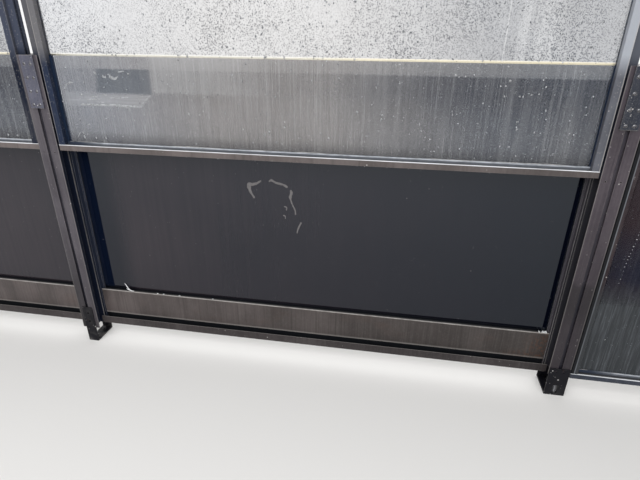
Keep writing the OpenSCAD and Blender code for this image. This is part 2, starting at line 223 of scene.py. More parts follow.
class ScreenWallFixings(bpy.types.PropertyGroup):
    """Sizes of the screws, nuts and bolts"""

    screw_r: length("Screw head radius", "Half the width of a cover plate's screw head", 4.1)
    screw_in: length("Screw spacing", "From a post's middle to a row of screws", 11.0)
    screw_foot: length("Lowest screw", "From a cover plate's foot to its lowest screw", 11.0)
    screw_step: length("Screw step", "From one screw up to the next", 41.0)
    sinking: length("Sinking depth", "Depth of the sinking that a screw sits in", 2.5)
    washer_r: length("Washer radius", "Half the width of an anchor's washer", 8.0)
    washer_t: length("Washer thickness", "Thickness of an anchor's washer", 1.6)
    nut_w: length("Nut width", "Across the flats of an anchor's nut", 13.0)
    nut_h: length("Nut height", "Height of an anchor's nut", 6.5)
    stud_r: length("Stud radius", "Half the width of an anchor's stud", 4.0)
    stud_up: length("Stud end", "How far a stud stands out of its nut", 4.0)
    anchor_out: length("Anchor offset", "From a post's middle to an anchor, front and back", 25.0)
    base_t: length("Shoe base", "Thickness of a shoe's base plate", 6.0)
    bolt_y: length("Levelling bolt offset", "From the posts' middle forward to the levelling bolt", 39.0)
    bolt_nut_w: length("Levelling nut width", "Across the flats of the levelling nut", 15.0)
    bolt_nut_h: length("Levelling nut height", "Height of the levelling nut", 9.0)
    thread_r: length("Thread radius", "Outside of the levelling bolt's thread", 6.7)
    thread_step: length("Thread pitch", "From one turn of the thread to the next", 2.0)
    thread_top: length("Thread top", "Height at which the thread goes behind the shoe", 41.0)


class ScreenWallWeather(bpy.types.PropertyGroup):
    """Rain, sealant and smears on the glass"""

    seed: IntProperty(name="Seed", description="Sets out the drops and crumbs", default=12, min=0)
    drops: IntProperty(
        name="Drops", description="Rain drops on each sash's glass", default=6500, min=0, max=9000
    )
    drop_small: length("Small drop", "Radius of the smallest drops", 0.9)
    drop_large: length("Large drop", "Radius of the largest drops", 3.2)
    high_share: share("Drops above the pane", "Share of the drops that sit above the fixed panes", 0.92)
    edge_gap: length("Clear margin", "Glass left clear of drops beside the seal", 4.0)
    seal_in: length("Seal edge", "From a post's middle to the inner edge of a sash's seal", 69.0)
    seal_up: length("Seal height", "How far a sash's seal stands above its rail", 8.0)
    bead_r: length("Sealant bead", "Radius of the sealant line above a seal", 0.7)
    bead_wave: length("Sealant wave", "How far the sealant line wanders", 2.2)
    drips: IntProperty(name="Drips", description="Drips under each lifted sash", default=26, min=0, max=200)
    trails: IntProperty(
        name="Trails", description="Rows of drops on a lowered sash", default=18, min=0, max=100
    )
    drip_r: length("Drip radius", "Radius of a hanging drip", 1.6)
    smear_t: length("Smear thickness", "How far a dried smear stands off the glass", 0.35)


class ScreenWallStage(bpy.types.PropertyGroup):
    """Camera, lamps and floor"""

    camera_x: length("Camera along", "Camera's place along the wall", 2908.0)
    camera_y: FloatProperty(
        name="Camera out",
        description="Camera's place in front of the wall",
        subtype="DISTANCE",
        default=-1.4046,
    )
    camera_z: length("Camera height", "Camera's height above the ground", 1160.0)
    turn: angle("Turn", "Camera's turn to the left", 9.514)
    dip: angle("Dip", "Camera's dip below level", 24.776)
    roll: angle("Roll", "Camera's roll", 0.412)
    lens: FloatProperty(name="Lens", description="Focal length in millimetres", default=25.96, min=1.0)
    floor: shade("Floor", "Plain pale floor", (0.8, 0.79, 0.775))
    sky_level: FloatProperty(name="Sky level", description="Soft light from all round", default=0.74, min=0.0)
    front_power: FloatProperty(
        name="Front lamp", description="Power of the large front lamp", default=150.0, min=0.0
    )
    back_power: FloatProperty(
        name="Back lamp", description="Power of the large back lamp", default=80.0, min=0.0
    )


# Shader building


def paint(colour):
    """A colour as a shader takes it."""
    return colour if isinstance(colour, Amount) else (colour[0], colour[1], colour[2], 1.0)


def dimmed(colour, part):
    """A colour brought down to a part of itself."""
    return [c * part for c in colour]


def put(tree, kind, inputs=None, **settings):
    """Adds a shader node, sets it, and fills or links its inputs."""
    node = tree.nodes.new(kind)
    for name, value in settings.items():
        setattr(node, name, value)
    for key, value in (inputs or {}).items():
        feed(tree, node.inputs[key], value)
    return node


def feed(tree, socket, value):
    """Links a value to a node's input, or sets it there."""
    if isinstance(value, Amount):
        tree.links.new(value.socket, socket)
    else:
        socket.default_value = value


def worked(operation, swapped=False):
    """One sum of an amount and another value."""

    def work(self, other=0.0):
        pair = {0: other, 1: self} if swapped else {0: self, 1: other}
        return self.made("ShaderNodeMath", pair, operation=operation)

    return work


class Amount:
    """A value that changes over a surface, and that adds, takes away and multiplies as a number does."""

    __add__ = __radd__ = worked("ADD")
    __mul__ = __rmul__ = worked("MULTIPLY")
    __sub__ = worked("SUBTRACT")
    __rsub__ = worked("SUBTRACT", swapped=True)
    __mod__ = worked("FLOORED_MODULO")
    __gt__ = worked("GREATER_THAN")
    __abs__ = worked("ABSOLUTE")
    larger = worked("MAXIMUM")
    folded = worked("PINGPONG")

    def __init__(self, tree, socket):
        self.tree, self.socket = tree, socket

    def made(self, kind, inputs, output=0, **settings):
        """Adds a shader node and gives one of its outputs."""
        return Amount(self.tree, put(self.tree, kind, inputs, **settings).outputs[output])

    def step(self, low, high, to_low=0.0, to_high=1.0, base=0.0):
        """Moves the value from one range, measured from a base, to another and stops it at the ends."""
        if base:
            low, high = base + low, base + high
        inputs = {"Value": self, "From Min": low, "From Max": high, "To Min": to_low, "To Max": to_high}
        return self.made("ShaderNodeMapRange", inputs)

    def step_mm(self, low, high, to_low=0.0, to_high=1.0, base=0.0):
        """The same with the first range in millimetres."""
        return self.step(low * MM, high * MM, to_low, to_high, base)

    def fade(self, empty, full):
        """One value where this one is nothing and another where it is all."""
        return self.step(0.0, 1.0, empty, full)

    def band(self, begin, rise, fall, end, base=0.0, unit=1.0):
        """All between the middle two limits and nothing outside the outer two."""
        return self.step(begin * unit, rise * unit, base=base) * self.step(end * unit, fall * unit, base=base)

    def parts(self):
        """The three distances of a place."""
        split = put(self.tree, "ShaderNodeSeparateXYZ", {0: self})
        return [Amount(self.tree, socket) for socket in split.outputs]

    def vector(self, operation, other=None, output=0):
        """One sum of two places."""
        inputs = {0: self} if other is None else {0: self, 1: other}
        return self.made("ShaderNodeVectorMath", inputs, output, operation=operation)


def most(first, *others):
    """The largest of several amounts."""
    for other in others:
        first = first.larger(other)
    return first


class Coat:
    """A finish under way: a surface shader, the colour laid so far, and each point's place on the wall."""

    def __init__(self, name, colour):
        self.material = bpy.data.materials.new(name)
        self.material.use_nodes = True
        self.tree = self.material.node_tree
        self.tree.nodes.clear()
        self.surface = self.tree.nodes.new("ShaderNodeBsdfPrincipled")
        self.end = self.tree.nodes.new("ShaderNodeOutputMaterial")
        self.tree.links.new(self.surface.outputs[0], self.end.inputs["Surface"])
        self.place = self.made("ShaderNodeTexCoord", output="Object")
        self.along, self.out, self.up = self.place.parts()
        self.colour = colour

    def made(self, kind, inputs=None, output=0, **settings):
        """Adds a shader node and gives one of its outputs."""
        return Amount(self.tree, put(self.tree, kind, inputs, **settings).outputs[output])

    def mixed(self, amount, under, over):
        """One colour over another by a share."""
        inputs = {0: amount, 6: paint(under), 7: paint(over)}
        return self.made("ShaderNodeMix", inputs, 2, data_type="RGBA")

    def lay(self, amount, colour):
        """Lays one more colour over the finish."""
        self.colour = self.mixed(amount, self.colour, colour)

    def fill(self, **values):
        """Sets or links the surface shader's inputs by name."""
        for name, value in values.items():
            feed(self.tree, self.surface.inputs[name.replace("_", " ")], value)

    def relief(self, height, depth_mm, strength=1.0):
        """Raises and lowers the surface a little."""
        bump = {"Height": height, "Distance": depth_mm * MM, "Strength": strength}
        self.fill(Normal=self.made("ShaderNodeBump", bump))

    def done(self, **values):
        """Ends the finish with its colour and the last of the shader's inputs."""
        self.fill(Base_Color=paint(self.colour), **values)
        return self.material

    def shifted(self, by):
        """Places moved along, so that a pattern is drawn afresh."""
        return self.place.vector("ADD", by)

    def cloud(self, along, up, detail=3.0, rough=0.6, out=None):
        """Soft noise with so many patches a metre along the wall and up it."""
        vector = self.place.vector("MULTIPLY", (along, along if out is None else out, up))
        inputs = {"Vector": vector, "Scale": 1.0, "Detail": detail, "Roughness": rough}
        return self.made("ShaderNodeTexNoise", inputs)

    def patchy(self, along, up, least, full=1.0, detail=4.0):
        """A share that comes and goes between two values, for wear that is never even."""
        return self.cloud(along, up, detail).step(0.3, 0.6, least, full)

    def specks(self, a_metre, chosen, width, up=None, place=None):
        """Dots in a chosen share of cells, so many cells to the metre."""
        vector = (place or self.place).vector("MULTIPLY", (a_metre, a_metre, up or a_metre))
        cells = put(self.tree, "ShaderNodeTexVoronoi", {"Vector": vector, "Scale": 1.0}).outputs
        dots = Amount(self.tree, cells["Distance"]).step(width, width * 0.55)
        lot = self.made("ShaderNodeSeparateColor", {0: Amount(self.tree, cells["Color"])})
        return dots * (lot > 1.0 - chosen)

    def patch(self, centre, size):
        """A soft spot about a place, full at its middle and gone at its edge."""
        away = self.place.vector("SUBTRACT", centre).vector("MULTIPLY", tuple(1.0 / s for s in size))
        return away.vector("LENGTH", output="Value").step(1.0, 0.25)

    def normal(self):
        """The way that the surface faces."""
        return self.made("ShaderNodeNewGeometry", output="Normal")

    def outer_corners(self, radius_mm):
        """Outer corners, where hands and brooms rub the finish, and where the bronze also takes a painted
        highlight along its edges.
        """
        rounded = self.made("ShaderNodeBevel", {"Radius": radius_mm * MM}, samples=4)
        return rounded.vector("DOT_PRODUCT", self.normal(), "Value").step(0.99, 0.78)

    def facing_up(self):
        """Surfaces that face the sky, where dust settles."""
        return self.normal().parts()[2].step(0.5, 0.9)

    def from_post(self):
        """Distance along the wall to the middle of the nearest post."""
        return self.along.folded((POST_X[2] - POST_X[1]) / 2)

    def into_bay(self):
        """Distance along a bay from the middle of its first post."""
        return (self.along + PITCH) % PITCH

    def shaded(self, lit=0.0, dark=1.0):
        """Goes from one value to another as the middle bay's light falls off towards its second post."""
        return self.along.step(POST_X[2], POST_X[3], lit, dark)


# Metal finishes


def bronze(
    name, left, right, colours, streaks=0.05, clouds=0.06, wear=0.35, dots=0.03, gloss=0.42, fine=150.0
):
    """Bronze paint on aluminium with thin dust, rain streaks, pale specks and pale edges of rubbed paint and
    painted highlight, and a painted shade that darkens it towards the middle bay's second post.
    """
    coat = Coat(name, left)
    dark = dimmed(right, 0.4)
    # Painted shade: the second, darker colour takes over towards the middle bay's second post.
    coat.lay(coat.shaded(), right)
    broad = coat.cloud(7.0, 4.0, detail=5.0)
    coat.lay(broad.step(0.35, 0.6, 0.45, 0.0), dark)
    runs = coat.cloud(fine, 3.2, detail=4.0, rough=0.65).step(0.45, 0.75)
    mottle = coat.cloud(130.0, 100.0, detail=4.0, rough=0.7).step(0.5, 0.75)
    dirt = broad.step(0.5, 0.75) * clouds + runs * streaks + mottle * 0.05
    coat.lay(dirt, colours.dust_and_highlight)
    coat.lay(coat.cloud(fine * 0.6, 2.0, detail=4.0).step(0.52, 0.75) * 0.5, dark)
    # Pale outer corners: partly rubbed paint, partly a painted highlight along the edges.
    coat.lay(coat.outer_corners(2.0) * coat.cloud(60.0, 25.0).step(0.3, 0.6) * wear, colours.dust_and_highlight)
    coat.lay(coat.facing_up() * 0.3, colours.dust_and_highlight)
    chips = most(coat.specks(95.0, dots, 0.24), coat.specks(190.0, dots * 1.6, 0.24))
    coat.lay(chips * 0.7, colours.chalk)
    rough = (dirt * 3.0 + chips).step(0.0, 0.8, gloss, gloss + 0.25)
    coat.fill(Specular_IOR_Level=0.35, Roughness=rough)
    coat.relief(coat.cloud(900.0, 700.0, detail=2.0) * 0.25 + chips, 0.25)
    return coat


def post_finish(colours):
    """Bronze faces with a painted shadow towards the ground, tracks and groove in painted shade that is
    lighter on a post's left side, pale lines of painted highlight along the lips and face edges, and pale
    rubbed corners.
    """
    coat = bronze("post_bronze", colours.post_left, colours.post_right, colours)
    aside, right_face = coat.from_post(), coat.into_bay().step(0.5, 0.49)
    left_face = 1.0 - right_face
    darken_post(coat, right_face, left_face, dimmed(colours.post_right, 0.16))
    # Painted shade in the groove down the face.
    groove = aside.step_mm(6.4, 5.8) * coat.out.step_mm(1.0, 3.0, base=POST_FRONT)
    coat.lay(groove * coat.shaded().fade(0.46, 0.34), colours.blue_black_shade_and_pits)
    # Painted highlight: a pale line along the outer edges of the face.
    arris = aside.step_mm(31.5, 35.0) * coat.out.step_mm(1.2, 0.6, base=POST_FRONT)
    coat.lay(arris * 0.25, colours.dust_and_highlight)
    # Painted shade deep in the tracks and on the glazing sides.
    deep = coat.out.step_mm(3.4, 4.6, base=POST_FRONT) * aside.step_mm(10.6, 11.6)
    coat.lay(deep * 0.96, colours.blue_black_shade_and_pits)
    web = aside.step_mm(14.0, 13.0) * coat.out.step_mm(2.5, 1.0)
    box_side = aside.step_mm(38.5, 39.5) * coat.out.step_mm(21.6, 21.0) * coat.out.step_mm(2.0, 3.0)
    sides = deep * most(web, box_side)
    # Painted light: the side walls are lighter where they face the light, and on a post's left side the
    # tracks are lighter grey with bronze walls.
    coat.lay(sides * 0.75, colours.recess_side)
    coat.lay(deep * left_face * 0.85, colours.recess_lit_grey)
    coat.lay(sides * left_face * 0.5, colours.post_left)
    # Painted highlights: pale lines along the track lips and box edges, stronger on a post's left side.
    lip = aside.band(*TRACK_LIP_SIDE, unit=MM) * coat.out.band(*TRACK_LIP_DEPTH, unit=MM)
    box_edge = aside.step_mm(39.2, 39.8) * coat.out.band(*BOX_EDGE_DEPTH, unit=MM) * left_face
    pale = most(lip * left_face.fade(0.36, 0.14), box_edge * 0.26)
    coat.lay(pale * coat.cloud(20.0, 5.0, detail=4.0).step(0.35, 0.6, 0.4, 1.0), colours.dust_and_highlight)
    corner = coat.outer_corners(1.6) * deep * coat.out.step_mm(-8.0, -5.0)
    coat.lay(corner * coat.patchy(20.0, 6.0, 0.15, 0.75), colours.dust_and_highlight)
    return coat.done()


def darken_post(coat, right_face, left_face, black):
    """Painted shadow that gathers towards the ground, and a ragged dark band about 0.3 to 0.47 m up on the
    posts towards the shaded side.
    """
    lit = 1.0 - coat.shaded()
    late = right_face * lit
    high = coat.shaded().fade(0.52, 0.72) - late * 0.22
    low = high - late.fade(0.42, 0.22)
    shadow = coat.up.step(high, low) * (left_face * lit).fade(0.6, 1.1)
    coat.lay(shadow * coat.patchy(12.0, 6.0, 0.7, detail=5.0), black)
    ragged = coat.up + coat.cloud(40.0, 8.0, detail=4.0) * 0.06
    coat.lay(ragged.step(0.475, 0.462) * coat.up.step(0.27, 0.35) * coat.shaded() * 0.6, black)


def plate_finish(colours):
    """Slate bronze with dark and pale grit, and a pale rim of rubbed paint and painted highlight."""
    coat = bronze("plate_bronze", colours.plate_left, colours.plate_right, colours, wear=0.9, dots=0.08)
    shifted = coat.shifted((2.3, 4.1, 1.7))
    pits = most(coat.specks(210.0, 0.22, 0.34, place=shifted), coat.specks(120.0, 0.12, 0.26, place=shifted))
    coat.lay(pits * 0.75, colours.blue_black_shade_and_pits)
    coat.lay(coat.cloud(260.0, 220.0, detail=4.0, rough=0.75).step(0.52, 0.72, 0.0, 0.22), colours.dust_and_highlight)
    return coat.done()


def bottom_rail_finish(colours):
    """Brown bronze with fine rain runs, rust at the right end, rubbed paint along the top bead, and painted
    shade in the gap behind its front.
    """
    wear = {"streaks": 0.06, "clouds": 0.03, "wear": 0.5, "dots": 0.0, "gloss": 0.46, "fine": 230.0}
    coat = bronze("bottom_rail_bronze", colours.rail_left, colours.rail_right, colours, **wear)
    bead = coat.up.step_mm(-3.8, -2.2, base=RAIL_TOP)
    coat.lay(bead * coat.patchy(40.0, 40.0, 0.35, 0.75, detail=3.0), colours.dust_and_highlight)
    coat.lay(coat.up.step_mm(8.0, 2.0, 0.0, 0.34, base=RAIL_FOOT), colours.dust_and_highlight)
    bay_end = coat.patch((POST_X[3] - 0.05, RAIL_FRONT, RAIL_FOOT + 0.055), (0.075, 0.06, 0.085))
    low_end = coat.patch((POST_X[3] - 0.085, RAIL_FRONT, RAIL_FOOT + 0.012), (0.11, 0.06, 0.028))
    spots = coat.cloud(120.0, 90.0, detail=5.0).step(0.45, 0.62)
    coat.lay(most(bay_end, low_end) * spots * 0.6, colours.rust)
    coat.lay(coat.cloud(5.0, 12.0).step(0.55, 0.8) * 0.25, dimmed(colours.rust, 0.8))
    # Painted shade in the gap behind the rail's front.
    coat.lay(coat.out.step_mm(3.0, 12.0, 0.0, 0.97, base=RAIL_FRONT), colours.hollow_shade)
    return coat.done()


def gutter_finish(colours):
    """Dull bronze with a worn front edge that has lost its paint here and there, and painted shade in the
    trough.
    """
    wear = {"streaks": 0.04, "clouds": 0.05, "wear": 0.4, "dots": 0.01, "gloss": 0.5}
    coat = bronze("gutter_bronze", colours.gutter, dimmed(colours.gutter, 0.85), colours, **wear)
    # Painted shade in the trough behind the gutter's front.
    coat.lay(coat.out.step_mm(2.2, 3.2, 0.0, 0.98, base=GUTTER_FRONT), colours.hollow_shade)
    rim = coat.up.step_mm(-2.2, -0.8, base=GUTTER_TOP) * coat.out.step_mm(3.2, 2.6, base=GUTTER_FRONT)
    bare = coat.cloud(22.0, 22.0, detail=5.0, rough=0.7).step(0.56, 0.64)
    coat.lay(rim * bare * 0.9, colours.chalk)
    coat.lay(rim * coat.cloud(60.0, 60.0).step(0.35, 0.6, 0.25, 0.6), colours.dust_and_highlight)
    return coat.done()


def sash_rail_finish(name, left, right, colours):
    """Bronze with a pale painted highlight along the lip at the top of the rail, and painted shade behind its
    front.
    """
    coat = bronze(name, left, right, colours, streaks=0.04, clouds=0.05, wear=0.4, dots=0.01, gloss=0.4)
    tops = [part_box(f"{bay}_sash_{rail}_rail")[1].z for bay in BAYS for rail in ("bottom", "top")]
    # Painted highlight along the lip at the top of each rail.
    lip = most(*(abs(coat.up - top).step_mm(2.6, 1.6) for top in tops))
    lip = lip * coat.out.step_mm(5.0, 3.0, base=SASH_FRONT)
    coat.lay(lip * coat.patchy(10.0, 30.0, 0.6, detail=5.0), colours.sash_lip_highlight)
    # Painted shade behind the rail's front.
    coat.lay(coat.out.step_mm(5.0, 12.0, 0.0, 0.8, base=SASH_FRONT), colours.hollow_shade)
    return coat.done()


def stile_finish(name, low, high, colours, edge, sheen, hidden):
    """Bronze that is darker beside the post than above it, with a pale line of painted highlight along its
    outer edge and a runner in painted shade.
    """
    coat = bronze(name, low, low, colours, wear=0.2, dots=0.01, gloss=0.34)
    aside = coat.from_post()
    over_post = coat.up.step_mm(-30.0, 25.0, base=PANE_TOP)
    coat.lay(over_post, high)
    coat.lay(coat.specks(190.0, 0.3, 0.35) * 0.3, colours.dust_and_highlight)
    # Painted shade on the runner beside the post, kept above the post by a share.
    coat.lay(aside.step_mm(38.8, 38.2, 0.0, 0.85) * over_post.fade(1.0, hidden), colours.blue_black_shade_and_pits)
    # Painted highlight: a pale line along the runner's rim.
    coat.lay(aside.band(*RUNNER_RIM, unit=MM) * coat.patchy(20.0, 9.0, 0.25) * edge, colours.dust_and_highlight)
    return coat.done(Specular_IOR_Level=sheen)


def lowered_stile_finish(colours):
    """A black runner of painted shade, a pale line of painted highlight and a grimy strip that reads as one
    with the glass beside it.
    """
    brown = colours.film_brown
    coat = bronze("lowered_stile_bronze", brown, brown, colours, wear=0.0, dots=0.02)
    aside = coat.from_post()
    coat.lay(coat.up.step(*LOWERED_TURN) * 0.9, colours.film_low)
    # Painted shade: the black runner beside the post.
    coat.lay(aside.step_mm(48.2, 47.2) * 0.98, colours.hollow_shade)
    # Painted highlight: a pale line along the runner's edge.
    coat.lay(aside.band(*LOWERED_LINE, unit=MM) * coat.patchy(20.0, 5.0, 0.3, 0.8), colours.film_runs)
    return coat.done(Specular_IOR_Level=0.2)


def shoe_finish(colours):
    """Black paint with grit, pale specks and dust towards the ground, the dust stronger towards the left of
    the wall as painted light.
    """
    coat = Coat("shoe_black", colours.shoe)
    broad = coat.cloud(30.0, 22.0, detail=5.0).step(0.45, 0.75)
    # Painted light: the dust near the ground is stronger on the lit left side of the wall and weaker towards
    # the shaded right.
    foot = coat.up.step_mm(50.0, 0.0, 0.05, 0.3) * coat.shaded(3.0, 0.5)
    coat.lay(broad * foot, dimmed(colours.dust_and_highlight, 0.4))
    edges = coat.outer_corners(1.5) * coat.cloud(110.0, 110.0).step(0.4, 0.6) * 0.25
    coat.lay(edges, dimmed(colours.chalk, 0.5))
    chips = most(coat.specks(80.0, 0.09, 0.26), coat.specks(180.0, 0.08, 0.25))
    coat.lay(chips * 0.75, colours.chalk)
    rust = coat.cloud(65.0, 50.0, detail=5.0, out=70.0).step(0.66, 0.74, 0.0, 0.4)
    coat.lay(rust, dimmed(colours.rust, 0.6))
    coat.relief(coat.cloud(260.0, 260.0) * 0.6 + chips, 0.4)
    return coat.done(Specular_IOR_Level=0.15, Roughness=broad.fade(0.42, 0.7))


def steel_finish(name, steel, colours):
    """Dull screws and nuts with dark stains and rust, and painted shade on the faces that look down."""
    coat = Coat(name, steel)
    stain = coat.cloud(220.0, 220.0, detail=4.0).step(0.42, 0.7)
    coat.lay(stain * 0.6, dimmed(steel, 0.25))
    coat.lay(coat.cloud(130.0, 130.0).step(0.62, 0.74, 0.0, 0.4), colours.rust)
    # Painted shade on the faces that look down.
    coat.lay(coat.normal().parts()[2].step(0.25, -0.1, 0.0, 0.8), dimmed(steel, 0.1))
    coat.relief(coat.cloud(600.0, 600.0), 0.12)
    return coat.done(Metallic=0.85, Roughness=stain.fade(0.3, 0.55))


# Rubber and glass finishes


def rubber_finish(colours):
    """Matt black rubber with a little dust."""
    coat = Coat("glazing_rubber", colours.rubber)
    dusty = coat.cloud(45.0, 20.0, detail=5.0).step(0.45, 0.75) * 0.06
    coat.lay(dusty, colours.dust_and_highlight)
    coat.relief(coat.cloud(500.0, 500.0), 0.15)
    return coat.done(Specular_IOR_Level=0.2, Roughness=dusty.step(0.0, 0.1, 0.6, 0.9))


def seal_finish(colours):
    """Grimy seal with a chalky crest above the rails, blue-black along its sides as dark rubber with a
    painted reflection of the post, near clear where the light comes through its sides.
    """
    coat = Coat("sash_seal_rubber", colours.seal)
    aside, inward = coat.from_post(), coat.into_bay()
    first, begun = inward.step(0.5, 0.49), inward.step(0.1, 0.19)
    lowered = coat.along.step_mm(-1.0, 1.0, base=POST_X[3])
    lifted = 1.0 - lowered
    crests, rails = [], []
    for bay in BAYS:
        over_rail = coat.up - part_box(f"{bay}_sash_bottom_rail")[1].z
        under_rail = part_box(f"{bay}_sash_top_rail")[0].z - coat.up
        for height in (over_rail, under_rail):
            rails.append(abs(height).step_mm(9.0, 8.4) * (lowered if bay == "right" else lifted))
            crests.append(rails[-1] * height.step_mm(3.5, 5.5))
    grime = coat.cloud(50.0, 18.0, detail=5.0).step(0.35, 0.7)
    coat.lay(grime, dimmed(colours.seal, 0.75))
    coat.lay(most(*crests) * coat.patchy(45.0, 120.0, 0.35, detail=5.0) * begun, colours.seal_crest)
    # Blue-black beside the stiles: the seal's dark rubber with a painted reflection of the post.
    coat.lay((1.0 - begun) * first * 0.8, colours.seal_side_and_reflection)
    at_rail = most(*rails)
    coat.colour = coat.mixed(at_rail, colours.seal_side_and_reflection, coat.colour)
    last_side = aside.step_mm(65.5, 62.5, 0.12, 0.9)
    side = coat.up.step_mm(6.0, -4.0, base=PANE_TOP) * most(first * lifted * 0.92, last_side)
    solid = most(at_rail, side, aside.step_mm(63.0, 61.5, 0.1, 0.4))
    coat.relief(coat.cloud(300.0, 300.0), 0.2)
    return coat.done(Specular_IOR_Level=0.2, Roughness=grime.fade(0.45, 0.75), Alpha=solid)


def dark_pane_finish(colours):
    """Near-black glass under a thin film of dust that fades out towards the middle bay's second post as
    painted shade, a band of painted reflection of the post beside each bay's first post, and pale ground
    edges brightened as a painted highlight.
    """
    coat = Coat("dark_pane_glass", colours.pane)
    inward = coat.into_bay()
    broad = coat.cloud(1.6, 1.4, detail=4.0).step(0.3, 0.75, 0.55, 1.0)
    runs = coat.cloud(95.0, 1.4, detail=5.0, rough=0.7).step(0.35, 0.75, 0.75, 1.1)
    # Painted shade: the dust film fades out towards the middle bay's second post.
    film = broad * runs * coat.shaded(0.95, 0.0) * inward.step(0.13, 0.2, 0.2, 1.0)
    coat.lay(film, colours.pane_dust)
    # Painted reflection of the post in a dark band beside each bay's first post.
    coat.lay(inward.step_mm(92.0, 84.0, 0.0, 0.9), dimmed(colours.blue_black_shade_and_pits, 0.8))
    crest = coat.up.step_mm(-36.0, -33.0, 0.0, 0.32, base=PANE_TOP)
    coat.lay(crest * coat.cloud(14.0, 30.0).step(0.3, 0.65, 0.75, 1.0), colours.dust_and_highlight)
    coat.lay(coat.up.step_mm(9.0, 4.0, 0.0, 0.85, base=RAIL_TOP), dimmed(colours.pane, 0.4))
    coat.lay(most(coat.specks(60.0, 0.03, 0.1), coat.specks(140.0, 0.03, 0.16)) * 0.35, colours.dust_and_highlight)
    # Pale ground edges, brightened to near white as a painted highlight, yellower towards the second post.
    ground = most(coat.facing_up(), coat.up.step_mm(-4.2, -3.6, base=PANE_TOP))
    yellowed = [c * k for c, k in zip(colours.pane_edge, (0.95, 0.82, 0.55))]
    late = coat.along.step(POST_X[2] + 0.9, POST_X[3], 0.0, 0.8)
    coat.lay(ground, coat.mixed(late, colours.pane_edge, yellowed))
    coat.relief(coat.cloud(3.0, 2.0, detail=1.0), 0.6, 0.35)
    coat.fill(Specular_IOR_Level=0.5, IOR=1.5, Specular_Tint=(0.82, 0.9, 1.0, 1.0))
    return coat.done(Roughness=film.fade(0.02, 0.09) + ground * 0.5)


def glass_drops(coat, above):
    """Fine drops painted into the film: pale dots as painted highlights, and dark dots as painted shade that
    gather above the pane's edge.
    """
    far_side = coat.into_bay().step(0.9, 1.3, 0.55, 1.3)
    pale = most(coat.specks(330.0, 0.3, 0.42, 290.0) * 0.28, coat.specks(150.0, 0.02, 0.28, 130.0))
    shifted = coat.shifted((3.7, 1.9, 5.3))
    dark = most(coat.specks(290.0, 0.55, 0.5, 250.0, shifted), coat.specks(130.0, 0.14, 0.36, 110.0, shifted))
    wet = coat.cloud(5.0, 4.0).step(0.35, 0.6, 0.25, 1.0) * coat.up.step(0.2, 0.02, 0.55, 1.0, base=PANE_TOP)
    beaded = most(above, coat.up.step(0.955, 0.975, 0.1, 0.7))
    return pale * above.fade(far_side, 1.0), dark * wet * beaded


def glass_marks(coat):
    """A fan of soft rubs, a block of painted reflection with square sides, and the lighter glass beside it.
    """
    start = POST_X[2]
    fan_end = start + FAN_TIP[0] - FAN_TIP[1] * FAN_LEAN
    fan = (coat.along - coat.up * FAN_LEAN).step_mm(5.0, -2.0, base=fan_end)
    fan = fan * coat.along.step(0.07, 0.1, base=start) * coat.up.band(*FAN_UP)
    fan = fan * coat.cloud(5.0, 190.0).step(0.42, 0.62, 0.45, 1.0)
    # A block of painted reflection with square sides beside the second post.
    leaning = coat.along - (coat.up - 0.966) * BLOCK_LEAN
    block = leaning.step(0.194, 0.204, base=start) * coat.along.step(0.39, 0.382, base=start)
    lighter = coat.along.band(*PALE_PART_ALONG, base=start) * coat.up.step(0.965, 0.975)
    return fan, block * coat.up.band(*BLOCK_UP), lighter


